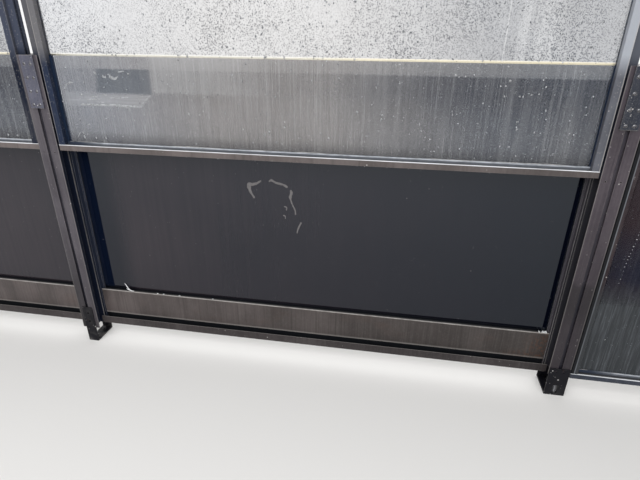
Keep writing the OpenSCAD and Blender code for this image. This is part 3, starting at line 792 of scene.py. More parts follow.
def sash_glass_finish(colours):
    """Clear glass under a grey rain film that thins towards the ground, with streaks, painted drops and a
    wipe; painted shade darkens the film to the right and under its crest, a block and a band beside the first
    stile are painted reflections, and pale lines over the pane's edge and along the seal are painted
    highlights.
    """
    coat = Coat("sash_glass", colours.film_left)
    up, inward, start = coat.up, coat.into_bay(), POST_X[2]
    broad = coat.cloud(2.6, 3.4, detail=5.0)
    runs = coat.cloud(260.0, 5.0, detail=5.0, rough=0.7)
    wide_runs = coat.cloud(42.0, 1.2, detail=4.0)
    above = up.step_mm(-1.0, 1.0, base=PANE_TOP)
    below = 1.0 - above
    pale_drops, dark_drops = glass_drops(coat, above)
    fan, block, lighter = glass_marks(coat)
    wipe = abs(coat.along - (start + WIPE_ALONG)).step(0.075, 0.03) * wide_runs.step(0.35, 0.55) * above
    clean = abs(coat.along - (start + CLEAN_LINE_ALONG)).step_mm(2.6, 1.2) * above
    coat.lay(inward.step(0.15, 0.6), colours.film)
    # Painted shade: the film darkens towards the bay's right end.
    coat.lay(inward.step(0.95, 1.4), colours.film_right_shaded)
    crest = up.step_mm(-40.0, -36.0, base=PANE_TOP)
    dip = (1.0 - crest) * up.step(0.99, 0.88, 1.0, 0.1) * inward.step(0.9, 1.35, 0.08, 0.7)
    coat.lay(dip, colours.film_shade)
    # Painted reflection: a dark block beside the second post, where the film is thinner.
    coat.lay(block * 0.62, colours.reflection_block)
    coat.lay(lighter * below * 0.42, colours.pale_film_and_highlight)
    coat.lay(crest * below * 0.12, colours.pale_film_and_highlight)
    coat.lay(broad.step(0.36, 0.64, 0.0, 0.26), colours.film_warm)
    heights = [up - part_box(f"{bay}_sash_bottom_rail")[1].z for bay in BAYS[:2]]
    foot = most(*(high.step_mm(46.0, 6.0) * high.step(-1.0, -0.99) for high in heights))
    coat.lay(foot * 0.6, colours.film_foot)
    coat.lay(up.step(0.9, 0.82, 0.0, 0.12), colours.film_foot)
    streaks = most(runs.step(0.5, 0.78) * 0.45, wide_runs.step(0.5, 0.78) * 0.25)
    # Pale streaks, wipe and fan marks, with the pale drops as painted highlights.
    coat.lay(most(streaks, pale_drops * 0.85, fan * 0.36, wipe * 0.4), colours.pale_film_and_highlight)
    # Dark drops as painted shade.
    coat.lay(dark_drops * (1.0 - pale_drops), colours.dark_film_and_drop_shade)
    drips = coat.cloud(300.0, 11.0).step(0.56, 0.66) * up.step(0.93, 0.85) * foot.fade(0.35, 0.65)
    coat.lay(drips, colours.dark_film_and_drop_shade)
    film = broad.step(0.3, 0.7, 0.4, 0.48) + runs.step(0.4, 0.8, -0.2, 1.0) * 0.08
    film = (film + pale_drops * 0.2 + fan * 0.08) * above.fade(1.0, inward.step(0.9, 1.4, 0.45, 0.82))
    film = (film + dark_drops * above.fade(0.34, 0.8)) * block.fade(1.0, 0.82)
    # Painted highlight: a pale line on the sash glass over the fixed pane's top edge, where the film thins.
    on_edge = abs(up - (PANE_TOP + 2.0 * MM)).step_mm(4.0, 3.0)
    film = film * (1.0 - on_edge) + on_edge * inward.step(0.8, 1.05, 0.1, 0.34)
    coat.lay(on_edge, colours.pane_edge_highlight)
    # Painted reflection of the post on the glass beside the first stile, below the pane's top.
    beside = inward.step_mm(77.0, 74.5) * below
    coat.lay(beside * 0.92, colours.seal_side_and_reflection)
    film = film * clean.fade(1.0, 0.62) + beside * 0.3
    # Painted highlight: a pale glint line along the seal's edge.
    coat.lay(inward.band(*SEAL_LINE, unit=MM) * up.step(0.9, 0.93) * below * 0.6, colours.pale_film_and_highlight)
    coat.relief(pale_drops + dark_drops, 0.2, 0.5)
    coat.fill(IOR=1.45, Specular_IOR_Level=0.35)
    return coat.done(Roughness=film.step(0.1, 0.8, 0.05, 0.35), Alpha=film)


def lowered_glass_finish(colours):
    """Clear glass under a dark film, brown above and blue-grey with pale runs towards the ground."""
    coat = Coat("lowered_sash_glass", colours.film_brown)
    broad = coat.cloud(6.0, 3.0, detail=4.0)
    runs = coat.cloud(170.0, 6.0, detail=6.0, rough=0.75)
    low = coat.up.step(*LOWERED_TURN)
    coat.lay(low, colours.film_low)
    coat.lay(coat.up.step(0.64, 0.56) * (1.0 - low) * broad.step(0.35, 0.65, 0.4, 0.9), colours.blue_black_shade_and_pits)
    pale = runs.step(0.45, 0.75) * low.fade(0.14, 0.5)
    dots = most(coat.specks(170.0, 0.06, 0.26), coat.specks(90.0, 0.03, 0.16))
    coat.lay(most(pale, dots * 0.9), colours.film_runs)
    coat.relief(dots, 0.2, 0.5)
    coat.fill(IOR=1.45, Specular_IOR_Level=0.2)
    film = most(broad.step(0.3, 0.7, 0.8, 0.88), low * 0.96)
    return coat.done(Roughness=pale.step(0.0, 0.3, 0.08, 0.3), Alpha=film)


# Finishes of the marks, the water and the sealant


def scuff_finish(colours):
    """Thin pale marks that let the glass show through."""
    coat = Coat("glass_scuff", dimmed(colours.scuff, 0.7))
    worn = coat.cloud(120.0, 160.0, detail=4.0).step(0.32, 0.62)
    coat.lay(worn * 0.4, colours.scuff)
    coat.relief(worn, 0.1)
    return coat.done(Roughness=0.6, Alpha=worn.fade(0.15, 0.62))


def smear_finish(colours):
    """Dull dried film that is thin in places."""
    coat = Coat("dried_smear", colours.smear)
    thin = coat.cloud(110.0, 160.0, detail=4.0).step(0.35, 0.7)
    coat.lay(thin * 0.5, dimmed(colours.smear, 0.6))
    coat.relief(thin, 0.1)
    return coat.done(Roughness=thin.fade(0.7, 0.85))


def water_finish(colours):
    """Rain water, partly clear, with dark and pale patches painted in as the shade and light that the drops
    bend.
    """
    # Painted shade and light: a dark base with pale patches, where clear water would only bend the light.
    coat = Coat("rain_water", colours.drop_painted_shade)
    coat.lay(coat.cloud(320.0, 260.0, detail=1.0).step(0.44, 0.56), colours.drop_painted_light)
    return coat.done(Roughness=0.04, IOR=1.33, Transmission_Weight=0.6)


def sealant_finish(name, pale, grime, colours):
    """Pale sealant, dirty in places."""
    coat = Coat(name, pale)
    dirt = coat.cloud(70.0, 70.0, detail=4.0).step(0.35, 0.7, 0.0, grime)
    coat.lay(dirt, dimmed(colours.dust_and_highlight, 0.35))
    coat.relief(coat.cloud(400.0, 400.0), 0.2)
    return coat.done(Roughness=dirt.fade(0.45, 0.75))


# Shapes


def new_piece(name, mesh, finish):
    """Puts a mesh into the scene as a piece that rides on the wall."""
    piece = bpy.data.objects.new(name, mesh)
    bpy.context.scene.collection.objects.link(piece)
    mesh.materials.append(finish)
    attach(piece, "root")
    return piece


def from_shape(name, shape, finish):
    """Turns a built shape into a piece."""
    bmesh.ops.recalc_face_normals(shape, faces=shape.faces)
    mesh = bpy.data.meshes.new(name)
    shape.to_mesh(mesh)
    shape.free()
    return new_piece(name, mesh, finish)


def stack_rings(shape, rings, place, smooth=False):
    """Joins rings of points one above the other and closes both ends. Each ring is a list of points."""
    made = [[shape.verts.new(place @ Vector(point)) for point in ring] for ring in rings]
    around = len(made[0])
    for low, high in zip(made, made[1:]):
        for i in range(around):
            j = (i + 1) % around
            shape.faces.new((low[i], low[j], high[j], high[i])).smooth = smooth
    shape.faces.new(list(reversed(made[0])))
    shape.faces.new(made[-1])


def round_ring(radius, height, sides, lobes=0.0):
    """A ring of points about the z axis, with six soft lobes if asked."""
    points = []
    for i in range(sides):
        turn = 2 * math.pi * i / sides
        reach = radius * (1 + lobes * math.cos(6 * turn))
        points.append((reach * math.cos(turn), reach * math.sin(turn), height))
    return points


def hex_ring(flats, height, limit, sides=36):
    """A ring of points on a hexagon whose corners are cut at a limit."""
    points = []
    for i in range(sides):
        turn = 2 * math.pi * i / sides
        across = (turn % (math.pi / 3)) - math.pi / 6
        reach = min(flats / 2 / math.cos(across), limit)
        points.append((reach * math.cos(turn), reach * math.sin(turn), height))
    return points


# A screw head's rings: share of its radius, height in millimetres, and how deep the socket's lobes are
SCREW_RINGS = (
    (0.98, 0.0, 0.0),
    (1.0, 0.5, 0.0),
    (0.94, 1.2, 0.0),
    (0.76, 1.85, 0.0),
    (0.56, 2.15, 0.0),
    (0.47, 2.15, 0.12),
    (0.42, 0.9, 0.14),
)


def add_screw(shape, x, z, sizes):
    """A low round screw head with a star socket, set in a plate's sinking and facing out."""
    seat = Matrix.Translation((x, PLATE_FRONT + sizes.sinking, z))
    place = seat @ Matrix.Rotation(math.radians(90.0), 4, "X")
    rings = [round_ring(sizes.screw_r * reach, up * MM, 24, lobes) for reach, up, lobes in SCREW_RINGS]
    stack_rings(shape, rings, place)


def add_nut(shape, place, flats, height, hole):
    """A chamfered hexagon nut about the z axis of its place, with a mouth round its bolt."""
    corner, chamfer = flats / 2 / math.cos(math.pi / 6), flats / 2 * 0.99
    rings = [
        hex_ring(flats, 0.0, chamfer),
        hex_ring(flats, height * 0.12, corner),
        hex_ring(flats, height * 0.88, corner),
        hex_ring(flats, height, chamfer),
        round_ring(hole * 1.18, height, 36),
        round_ring(hole, height - 0.8 * MM, 36),
    ]
    stack_rings(shape, rings, place)


def add_washer(shape, place, sizes):
    """A flat washer with eased edges."""
    ease = 0.3 * MM
    r, t = sizes.washer_r, sizes.washer_t
    rings = ((r * 0.97, 0.0), (r, ease), (r, t - ease), (r * 0.95, t))
    stack_rings(shape, [round_ring(reach, height, 28) for reach, height in rings], place)


def add_stud(shape, place, sizes):
    """A stud's threaded end, which stands out of its nut."""
    ridges, sunk = 9, 1.0 * MM
    rings = []
    for k in range(ridges):
        ridge = sizes.stud_r * (0.99 if k % 2 else 0.88)
        rings.append(round_ring(ridge, sizes.nut_h - sunk + (sizes.stud_up + sunk) * k / ridges, 20))
    rings.append(round_ring(sizes.stud_r * 0.7, sizes.nut_h + sizes.stud_up, 20))
    stack_rings(shape, rings, place)


def add_tube(shape, points, radii, sides=6):
    """A round bead along a line of points."""
    rings = []
    for i, point in enumerate(points):
        way = (points[min(i + 1, len(points) - 1)] - points[max(i - 1, 0)]).normalized()
        side = way.cross(Vector((0.0, 1.0, 0.0)))
        if side.length < 0.1:
            side = way.cross(Vector((0.0, 0.0, 1.0)))
        side.normalize()
        lift = way.cross(side)
        turns = [2 * math.pi * k / sides for k in range(sides)]
        rings.append([point + (side * math.cos(turn) + lift * math.sin(turn)) * radii[i] for turn in turns])
    stack_rings(shape, rings, Matrix.Identity(4), smooth=True)


def add_crumb(shape, centre, size, seed):
    """A small uneven lump."""
    made = bmesh.ops.create_icosphere(shape, subdivisions=2, radius=1.0)["verts"]
    for vert in made:
        bulge = 1.0 + 0.45 * noise.noise(vert.co * 1.7 + Vector((seed * 3.1, seed * 1.7, seed * 0.9)))
        vert.co = centre + Vector((vert.co.x * size[0], vert.co.y * size[1], vert.co.z * size[2])) * bulge


def between(points, steps):
    """Points on a smooth curve through the given ones, with so many steps between each two."""
    made = []
    last = len(points) - 1
    for i in range(last):
        p0, p1 = points[max(i - 1, 0)], points[i]
        p2, p3 = points[i + 1], points[min(i + 2, last)]
        for k in range(steps):
            t = k / steps
            a = (p2 - p0) * t
            b = (p0 * 2 - p1 * 5 + p2 * 4 - p3) * t * t
            c = (p1 * 3 - p0 - p2 * 3 + p3) * t * t * t
            made.append((p1 * 2 + a + b + c) * 0.5)
    made.append(points[last].copy())
    return made


def add_smear(shape, marks, thickness, front):
    """A flat stroke on a pane's front. Each mark gives a place along, a place up and a half width, in mm."""
    line = between([Vector((x * MM, z * MM, w * MM)) for x, z, w in marks], 6)
    rows = []
    for i, mark in enumerate(line):
        before, after = line[max(i - 1, 0)], line[min(i + 1, len(line) - 1)]
        way = Vector((after.x - before.x, after.y - before.y)).normalized()
        ragged = 1.0 + 0.35 * noise.noise(Vector((mark.x * 160.0, mark.y * 160.0, 0.0)))
        half = max(mark.z * ragged, 0.6 * MM) * (0.45 if i in (0, len(line) - 1) else 1.0)
        row = []
        for reach, lift in ((-1.0, 0.0), (-0.6, 0.8), (0.0, 1.0), (0.6, 0.8), (1.0, 0.0)):
            x = mark.x - way.y * half * reach
            z = mark.y + way.x * half * reach
            row.append(shape.verts.new((x, front - 0.02 * MM - thickness * lift, z)))
        rows.append(row)
    for low, high in zip(rows, rows[1:]):
        for k in range(4):
            shape.faces.new((low[k], low[k + 1], high[k + 1], high[k])).smooth = True
        shape.faces.new((low[4], low[0], high[0], high[4]))
    shape.faces.new(rows[0])
    shape.faces.new(list(reversed(rows[-1])))


def drop_mesh(name, drops):
    """A mesh of low domes on the front of the sash glass. Each drop is a place, a radius and a stretch."""
    points, faces, smooth = [], [], []
    back = SASH_GLASS_FRONT - 0.02 * MM
    for x, z, radius, stretch in drops:
        small = radius < 1.5 * MM
        sides = 6 if small else 10
        levels = ((1.0, 0.0),) if small else ((1.0, 0.0), (0.72, 0.62))
        start = len(points)
        for reach, lift in levels:
            for k in range(sides):
                turn = 2 * math.pi * k / sides
                across, up = math.cos(turn) * radius * reach, math.sin(turn) * radius * reach * stretch
                points.append((x + across, back - radius * 0.42 * lift, z + up))
        points.append((x, back - radius * 0.42, z - radius * 0.15))
        top = len(points) - 1
        for level in range(len(levels) - 1):
            low, high = start + level * sides, start + (level + 1) * sides
            for k in range(sides):
                n = (k + 1) % sides
                faces.append((low + k, low + n, high + n, high + k))
        high = start + (len(levels) - 1) * sides
        faces.extend((high + k, high + (k + 1) % sides, top) for k in range(sides))
        faces.append(tuple(start + k for k in reversed(range(sides))))
        smooth.extend([True] * (sides * len(levels)) + [False])
    mesh = bpy.data.meshes.new(name)
    mesh.from_pydata(points, [], faces)
    mesh.polygons.foreach_set("use_smooth", smooth)
    mesh.update()
    return mesh


# Operators: finishes


class Undoable:
    """What all of the wall's operators share."""

    bl_options = {"REGISTER", "UNDO"}


def give(finish, *nodes):
    """Puts a finish on nodes of the frame."""
    for node in nodes:
        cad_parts[node].material_slots[0].material = finish


def in_bays(piece, bays=BAYS):
    """The nodes of like pieces in several bays."""
    return [f"{bay}_{piece}" for bay in bays]


def at_posts(piece):
    """The nodes of like pieces at all posts."""
    return [f"{piece}_{i}" for i in POSTS]


class SCREENWALL_OT_finish_posts(Undoable, bpy.types.Operator):
    """Gives the posts their bronze"""

    bl_idname = "screenwall.finish_posts"
    bl_label = "Finish posts"

    def execute(self, context):
        give(post_finish(context.scene.screen_wall_colours), *at_posts("post"))
        return {"FINISHED"}


class SCREENWALL_OT_finish_plates(Undoable, bpy.types.Operator):
    """Gives the cover plates their slate bronze"""

    bl_idname = "screenwall.finish_plates"
    bl_label = "Finish cover plates"

    def execute(self, context):
        give(plate_finish(context.scene.screen_wall_colours), *at_posts("cover_plate"))
        return {"FINISHED"}


class SCREENWALL_OT_finish_rails(Undoable, bpy.types.Operator):
    """Gives the bottom rails and sill gutters their bronze, rain runs and rust"""

    bl_idname = "screenwall.finish_rails"
    bl_label = "Finish bottom rails and gutters"

    def execute(self, context):
        colours = context.scene.screen_wall_colours
        give(bottom_rail_finish(colours), *in_bays("bottom_rail"))
        give(gutter_finish(colours), *in_bays("sill_gutter"))
        return {"FINISHED"}


class SCREENWALL_OT_finish_sashes(Undoable, bpy.types.Operator):
    """Gives the sash rails and stiles their bronze"""

    bl_idname = "screenwall.finish_sashes"
    bl_label = "Finish sash frames"

    def execute(self, context):
        hue = context.scene.screen_wall_colours
        # The lifted rails' second colour is a darker copy, laid as painted shade towards the middle bay's
        # second post.
        lifted = sash_rail_finish("sash_rail_bronze", hue.sash, dimmed(hue.sash, 0.66), hue)
        lowered = sash_rail_finish("lowered_rail_bronze", hue.sash_low, hue.sash_low, hue)
        for rail in ("sash_bottom_rail", "sash_top_rail"):
            give(lifted, *in_bays(rail, BAYS[:2]))
            give(lowered, f"right_{rail}")
        first = stile_finish("first_stile_bronze", hue.stile_low, hue.stile_high, hue, 0.4, 0.15, 0.45)
        # The second stile's colour above its post is a painted reflection that brightens it.
        second = stile_finish("second_stile_bronze", hue.stile, hue.stile_lit, hue, 0.6, 0.35, 0.95)
        outer = stile_finish("outer_stile_bronze", hue.stile_dark, hue.stile_blue, hue, 0.12, 0.06, 0.0)
        give(first, *in_bays("sash_first_stile", BAYS[:2]))
        give(second, *in_bays("sash_second_stile", BAYS[1:]))
        give(outer, "left_sash_second_stile")
        give(lowered_stile_finish(hue), "right_sash_first_stile")
        return {"FINISHED"}


class SCREENWALL_OT_finish_shoes(Undoable, bpy.types.Operator):
    """Gives the ground shoes their black paint"""

    bl_idname = "screenwall.finish_shoes"
    bl_label = "Finish ground shoes"

    def execute(self, context):
        give(shoe_finish(context.scene.screen_wall_colours), *at_posts("ground_shoe"))
        return {"FINISHED"}


class SCREENWALL_OT_finish_rubber(Undoable, bpy.types.Operator):
    """Gives the pane gaskets and sash seals their rubber"""

    bl_idname = "screenwall.finish_rubber"
    bl_label = "Finish rubber"

    def execute(self, context):
        colours = context.scene.screen_wall_colours
        give(rubber_finish(colours), *in_bays("pane_gasket"))
        give(seal_finish(colours), *in_bays("sash_seal"))
        return {"FINISHED"}


class SCREENWALL_OT_finish_glass(Undoable, bpy.types.Operator):
    """Gives the fixed panes their dark glass and the sashes their wet clear glass"""

    bl_idname = "screenwall.finish_glass"
    bl_label = "Finish glass"

    def execute(self, context):
        colours = context.scene.screen_wall_colours
        give(dark_pane_finish(colours), *in_bays("fixed_pane"))
        give(sash_glass_finish(colours), *in_bays("sash_pane", BAYS[:2]))
        give(lowered_glass_finish(colours), "right_sash_pane")
        return {"FINISHED"}


# Operators: fittings


def made_once(name, maker, *details):
    """A finish that several pieces share."""
    return bpy.data.materials.get(name) or maker(name, *details)


class SCREENWALL_OT_add_screws(Undoable, bpy.types.Operator):
    """Sets eight screws into each cover plate"""

    bl_idname = "screenwall.add_screws"
    bl_label = "Add plate screws"

    def execute(self, context):
        sizes, colours = context.scene.screen_wall_fixings, context.scene.screen_wall_colours
        finish = made_once("screw_steel", steel_finish, colours.screw, colours)
        for i in POSTS:
            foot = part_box(f"cover_plate_{i}")[0].z + sizes.screw_foot
            shape = bmesh.new()
            for row in range(4):
                for side in (-1, 1):
                    add_screw(shape, POST_X[i] + side * sizes.screw_in, foot + row * sizes.screw_step, sizes)
            from_shape(f"plate_screws_{i}", shape, finish)
        return {"FINISHED"}


class SCREENWALL_OT_add_anchors(Undoable, bpy.types.Operator):
    """Sets the washers, nuts and stud ends on the shoes' bases"""

    bl_idname = "screenwall.add_anchors"
    bl_label = "Add ground anchors"

    def execute(self, context):
        sizes = context.scene.screen_wall_fixings
        colours = context.scene.screen_wall_colours
        finish = made_once("fixing_steel", steel_finish, colours.steel, colours)
        for i in POSTS:
            shape = bmesh.new()
            for side in (-1, 1):
                foot = Vector((POST_X[i], side * sizes.anchor_out, sizes.base_t + 0.02 * MM))
                add_washer(shape, Matrix.Translation(foot), sizes)
                up = Matrix.Translation(foot + Vector((0.0, 0.0, sizes.washer_t)))
                slant = Matrix.Rotation(math.radians(13.0 * i * side), 4, "Z")
                add_nut(shape, up @ slant, sizes.nut_w, sizes.nut_h, sizes.stud_r)
                add_stud(shape, up, sizes)
            from_shape(f"anchor_nuts_{i}", shape, finish)
        return {"FINISHED"}


class SCREENWALL_OT_add_levelling_nuts(Undoable, bpy.types.Operator):
    """Cuts the thread of the levelling bolts and runs a nut onto each"""

    bl_idname = "screenwall.add_levelling_nuts"
    bl_label = "Add levelling nuts"

    def execute(self, context):
        sizes = context.scene.screen_wall_fixings
        colours = context.scene.screen_wall_colours
        finish = made_once("fixing_steel", steel_finish, colours.steel, colours)
        for i in HIGH_POSTS:
            foot = Vector((POST_X[i], -sizes.bolt_y, sizes.base_t + 0.02 * MM))
            shape = bmesh.new()
            place = Matrix.Translation(foot) @ Matrix.Rotation(math.radians(30.0), 4, "Z")
            add_nut(shape, place, sizes.bolt_nut_w, sizes.bolt_nut_h, sizes.thread_r)
            rings = []
            height = sizes.base_t + sizes.bolt_nut_h - 1.0 * MM
            while height < sizes.thread_top:
                cut = 0.6 * MM if len(rings) % 2 else 0.0
                rings.append(round_ring(sizes.thread_r - cut, height, 28))
                height += sizes.thread_step / 2
            stack_rings(shape, rings, Matrix.Translation((POST_X[i], -sizes.bolt_y, 0.0)))
            from_shape(f"levelling_nut_{i}", shape, finish)
        return {"FINISHED"}


class SCREENWALL_OT_add_sealant(Undoable, bpy.types.Operator):
    """Runs the pale wavy line along the seal at the foot of each sash's glass"""

    bl_idname = "screenwall.add_sealant"
    bl_label = "Add sealant lines"

    def execute(self, context):
        weather, colours = context.scene.screen_wall_weather, context.scene.screen_wall_colours
        finish = sealant_finish("sealant_pale", colours.chalk, 0.7, colours)
        steps = 260
        for bay in BAYS:
            first = POST_X[BAY_POST[bay]] + weather.seal_in
            last = POST_X[BAY_POST[bay] + 1] - weather.seal_in
            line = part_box(f"{bay}_sash_bottom_rail")[1].z + weather.seal_up - 0.2 * MM
            points, radii = [], []
            for k in range(steps + 1):
                x = first + (last - first) * k / steps
                wave = noise.noise(Vector((x * 9.0, 1.3, line)))
                wave += 0.5 * noise.noise(Vector((x * 34.0, 4.1, line)))
                froth = 1.0 + 3.0 * max(noise.noise(Vector((x * 4.0, 9.2, line))) - 0.2, 0.0)
                z = line + max(wave, -0.3) * weather.bead_wave * froth
                points.append(Vector((x, SASH_GLASS_FRONT - weather.bead_r * 0.55, z)))
                radii.append(weather.bead_r * (1.0 + 0.5 * noise.noise(Vector((x * 60.0, 7.7, line)))))
            shape = bmesh.new()
            add_tube(shape, points, radii)
            from_shape(f"{bay}_sealant_line", shape, finish)
        return {"FINISHED"}


class SCREENWALL_OT_add_rain(Undoable, bpy.types.Operator):
    """Scatters rain drops on the sash glass and hangs drips under the lifted sashes"""

    bl_idname = "screenwall.add_rain"
    bl_label = "Add rain"

    def execute(self, context):
        weather = context.scene.screen_wall_weather
        finish = water_finish(context.scene.screen_wall_colours)
        for n, bay in enumerate(BAYS):
            pick = random.Random(weather.seed + n)
            first = POST_X[BAY_POST[bay]] + weather.seal_in + weather.edge_gap
            last = POST_X[BAY_POST[bay] + 1] - weather.seal_in - weather.edge_gap
            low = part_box(f"{bay}_sash_bottom_rail")[1].z + weather.seal_up + 6.0 * MM
            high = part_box(f"{bay}_sash_top_rail")[0].z - weather.seal_up - 3.0 * MM
            lifted = high > PANE_TOP + 100.0 * MM
            drops = [] if lifted else self.trails(weather, pick, first, last)
            while len(drops) < (weather.drops if lifted else weather.drops // 18):
                above = pick.random() < weather.high_share
                x = pick.uniform(first, last)
                reach = (max(PANE_TOP, low), high) if lifted and above else (low, min(PANE_TOP, high))
                z = pick.uniform(*reach)
                wet = 0.55 + 0.9 * noise.noise(Vector((x * 6.0, n * 5.0, z * 5.0)))
                if pick.random() > wet + 0.25 * (x - first) / (last - first):
                    continue
                size = weather.drop_small + (weather.drop_large - weather.drop_small) * pick.random() ** 3.5
                drops.append((x, z, size, pick.uniform(1.0, 1.45)))
            new_piece(f"{bay}_rain_drops", drop_mesh(f"{bay}_rain_drops", drops), finish)
            if lifted:
                self.hang_drips(bay, weather, finish, pick, first, last)
        return {"FINISHED"}

    def trails(self, weather, pick, first, last):
        """Rows of single drops that run down a lowered sash's glass."""
        drops = []
        for trail in range(weather.trails):
            x = first + (last - first) * (0.03 + 0.055 * trail)
            z = pick.uniform(0.68, 0.8)
            foot = z - pick.uniform(0.12, 0.3)
            while z > foot:
                z -= pick.uniform(9.0, 15.0) * MM
                x += pick.uniform(-1.6, 0.8) * MM
                drops.append((x, z, pick.uniform(1.1, 2.2) * MM, pick.uniform(1.0, 1.3)))
        return drops

    def hang_drips(self, bay, weather, finish, pick, first, last):
        """Small drips along the underside of a lifted sash's bottom rail."""
        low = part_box(f"{bay}_sash_bottom_rail")[0]
        shape = bmesh.new()
        for _ in range(weather.drips):
            r = weather.drip_r * pick.uniform(0.6, 1.15)
            spot = Vector((pick.uniform(first, last), low.y + pick.uniform(3.0, 9.0) * MM, low.z + 0.02 * MM))
            outline = ((1.25, 0.0), (1.05, 0.35), (0.98, 0.8), (0.8, 1.3), (0.45, 1.7), (0.12, 1.85))
            rings = [round_ring(r * reach, -r * drop, 12) for reach, drop in outline]
            stack_rings(shape, rings, Matrix.Translation(spot), smooth=True)
        from_shape(f"{bay}_rail_drips", shape, finish)


# Strokes of the dried smears on the centre pane and of the wiped marks on the centre sash's glass.
# Each point of a stroke is a place along, a place up and a half width, in millimetres.

SMEARS = {
    "hook": (
        (2467, 692, 3), (2452, 682, 4), (2437, 677, 6), (2425, 676, 8), (2424, 664, 7), (2429, 648, 4),
        (2441, 628, 4),
    ),
    "bow": ((2493, 690, 3), (2503, 695, 4), (2516, 688, 4), (2532, 684, 4), (2545, 681, 3.5), (2557, 673, 4)),
    "tail": (
        (2567, 665, 3), (2570, 655, 5), (2566, 641, 5), (2567, 630, 3), (2573, 612, 2.5), (2581, 595, 2.5),
        (2583, 577, 3),
    ),
    "first tick": ((2543, 605, 2), (2552, 602, 2), (2551, 591, 2.5)),
    "second tick": ((2539, 572, 2), (2546, 570, 2), (2547, 560, 1.5)),
    "dash": ((2603, 551, 2.5), (2596, 537, 3), (2590, 522, 3), (2587, 508, 2)),
}

FAN_STROKES = (
    (
        (1890, 928, 3), (1923, 929, 3), (1958, 928, 3), (1994, 930, 3), (2028, 928, 4), (2048, 926, 5),
        (2064, 916, 5),
    ),
    ((2049, 928, 3), (2073, 928, 3), (2093, 925, 2.5)),
    ((1929, 954, 1.5), (1957, 954, 1.5)),
    ((1979, 960, 3), (1988, 960, 3)),
    ((1998, 951, 1.2), (2026, 952, 1.5), (2060, 955, 1.5)),
    ((1916, 945, 1.5), (1944, 945, 2.5), (1966, 948, 1.2)),
    ((1950, 937, 1.2), (1974, 937, 1.2)),
    ((2098, 925, 1), (2109, 939, 1), (2120, 949, 1), (2136, 963, 1)),
)

RUB_STROKES = (
    ((1984, 1017, 4), (1997, 1013, 3)),
    ((2002, 1021, 2), (2014, 1023, 2)),
    ((2008, 1017, 4), (2017, 1012, 5), (2027, 1010, 4), (2038, 1017, 2)),
    ((2039, 1030, 2), (2061, 1032, 2)),
    ((1960, 1031, 3), (1963, 1021, 3)),
    ((1842, 976, 1.2), (1854, 987, 1.5), (1866, 994, 3), (1879, 995, 2)),
    ((1856, 822, 2.5), (1861, 829, 2), (1868, 837, 2.5)),
    ((1879, 841, 2.5), (1880, 833, 3)),
    ((1879, 829, 1.5), (1882, 818, 3)),
    ((1902, 864, 2.5), (1911, 866, 2)),
    ((1969, 886, 2), (1978, 888, 2)),
    ((1830, 962, 1.5), (1831, 949, 2.5)),
)

# Points of the two shreds of sealant on the centre bottom rail, and where single scraps lie, in millimetres

SHREDS = (
    ((1888, 25.5, 238), (1896, 23, 229), (1904, 19, 221), (1914, 15, 215.5), (1926, 12.5, 213.8)),
    ((1899, 17, 219), (1911, 14, 216.5), (1921, 12.5, 214.2), (1932, 12, 213.6)),
)
SCRAPS_ALONG = (2029.0, 2054.0, 2120.0, 2255.0)


class SCREENWALL_OT_add_smears(Undoable, bpy.types.Operator):
    """Lays the dried smears on the centre pane"""

    bl_idname = "screenwall.add_smears"
    bl_label = "Add smears"

    def execute(self, context):
        finish = smear_finish(context.scene.screen_wall_colours)
        shape = bmesh.new()
        for marks in SMEARS.values():
            add_smear(shape, marks, context.scene.screen_wall_weather.smear_t, PANE_FRONT)
        from_shape("centre_pane_smears", shape, finish)
        return {"FINISHED"}


class SCREENWALL_OT_add_scuffs(Undoable, bpy.types.Operator):
    """Lays the wiped marks on the centre sash's glass"""

    bl_idname = "screenwall.add_scuffs"
    bl_label = "Add scuffs"

    def execute(self, context):
        finish = scuff_finish(context.scene.screen_wall_colours)
        shape = bmesh.new()
        for marks in (*FAN_STROKES, *RUB_STROKES):
            add_smear(shape, marks, context.scene.screen_wall_weather.smear_t, SASH_GLASS_FRONT)
        from_shape("centre_sash_scuffs", shape, finish)
        return {"FINISHED"}


class SCREENWALL_OT_add_scraps(Undoable, bpy.types.Operator):
    """Leaves crumbs and scraps of old sealant on the centre bottom rail"""

    bl_idname = "screenwall.add_scraps"
    bl_label = "Add sealant scraps"

    def execute(self, context):
        pick = random.Random(context.scene.screen_wall_weather.seed)
        colours = context.scene.screen_wall_colours
        finish = sealant_finish("sealant_scraps", colours.lint, 0.35, colours)
        shape = bmesh.new()
        shelf = RAIL_TOP - 3.0 * MM
        crumbs = 22
        for n in range(crumbs):
            near = pick.random() ** 1.6
            spot = Vector((POST_X[3] - (50.0 + 26.0 * near) * MM, pick.uniform(13.5, 24.0) * MM, shelf))
            size = [pick.uniform(1.2, 3.6) * MM for _ in range(3)]
            add_crumb(shape, spot + Vector((0.0, 0.0, size[2] * 0.6)), size, n)
        for n, x in enumerate(SCRAPS_ALONG):
            size = (3.5 * MM, 2.0 * MM, 1.5 * MM)
            add_crumb(shape, Vector((x * MM, 16.0 * MM, shelf + 1.6 * MM)), size, 30 + n)
        for shred in SHREDS:
            line = between([Vector(point) * MM for point in shred], 5)
            swell = [0.7 + 0.8 * math.sin(math.pi * k / len(line)) for k in range(len(line))]
            add_tube(shape, line, [1.3 * MM * fat for fat in swell])
        from_shape("centre_rail_scraps", shape, finish)
        return {"FINISHED"}


# Operator: stage


def seen(path):
    """Rays by which the camera sees the background, also in glass and metal."""
    return most(*(path[f"Is {kind} Ray"] for kind in ("Camera", "Glossy", "Transmission")))


def light_paths(tree):
    """The kinds of ray, each as an amount."""
    return {out.name: Amount(tree, out) for out in put(tree, "ShaderNodeLightPath").outputs}


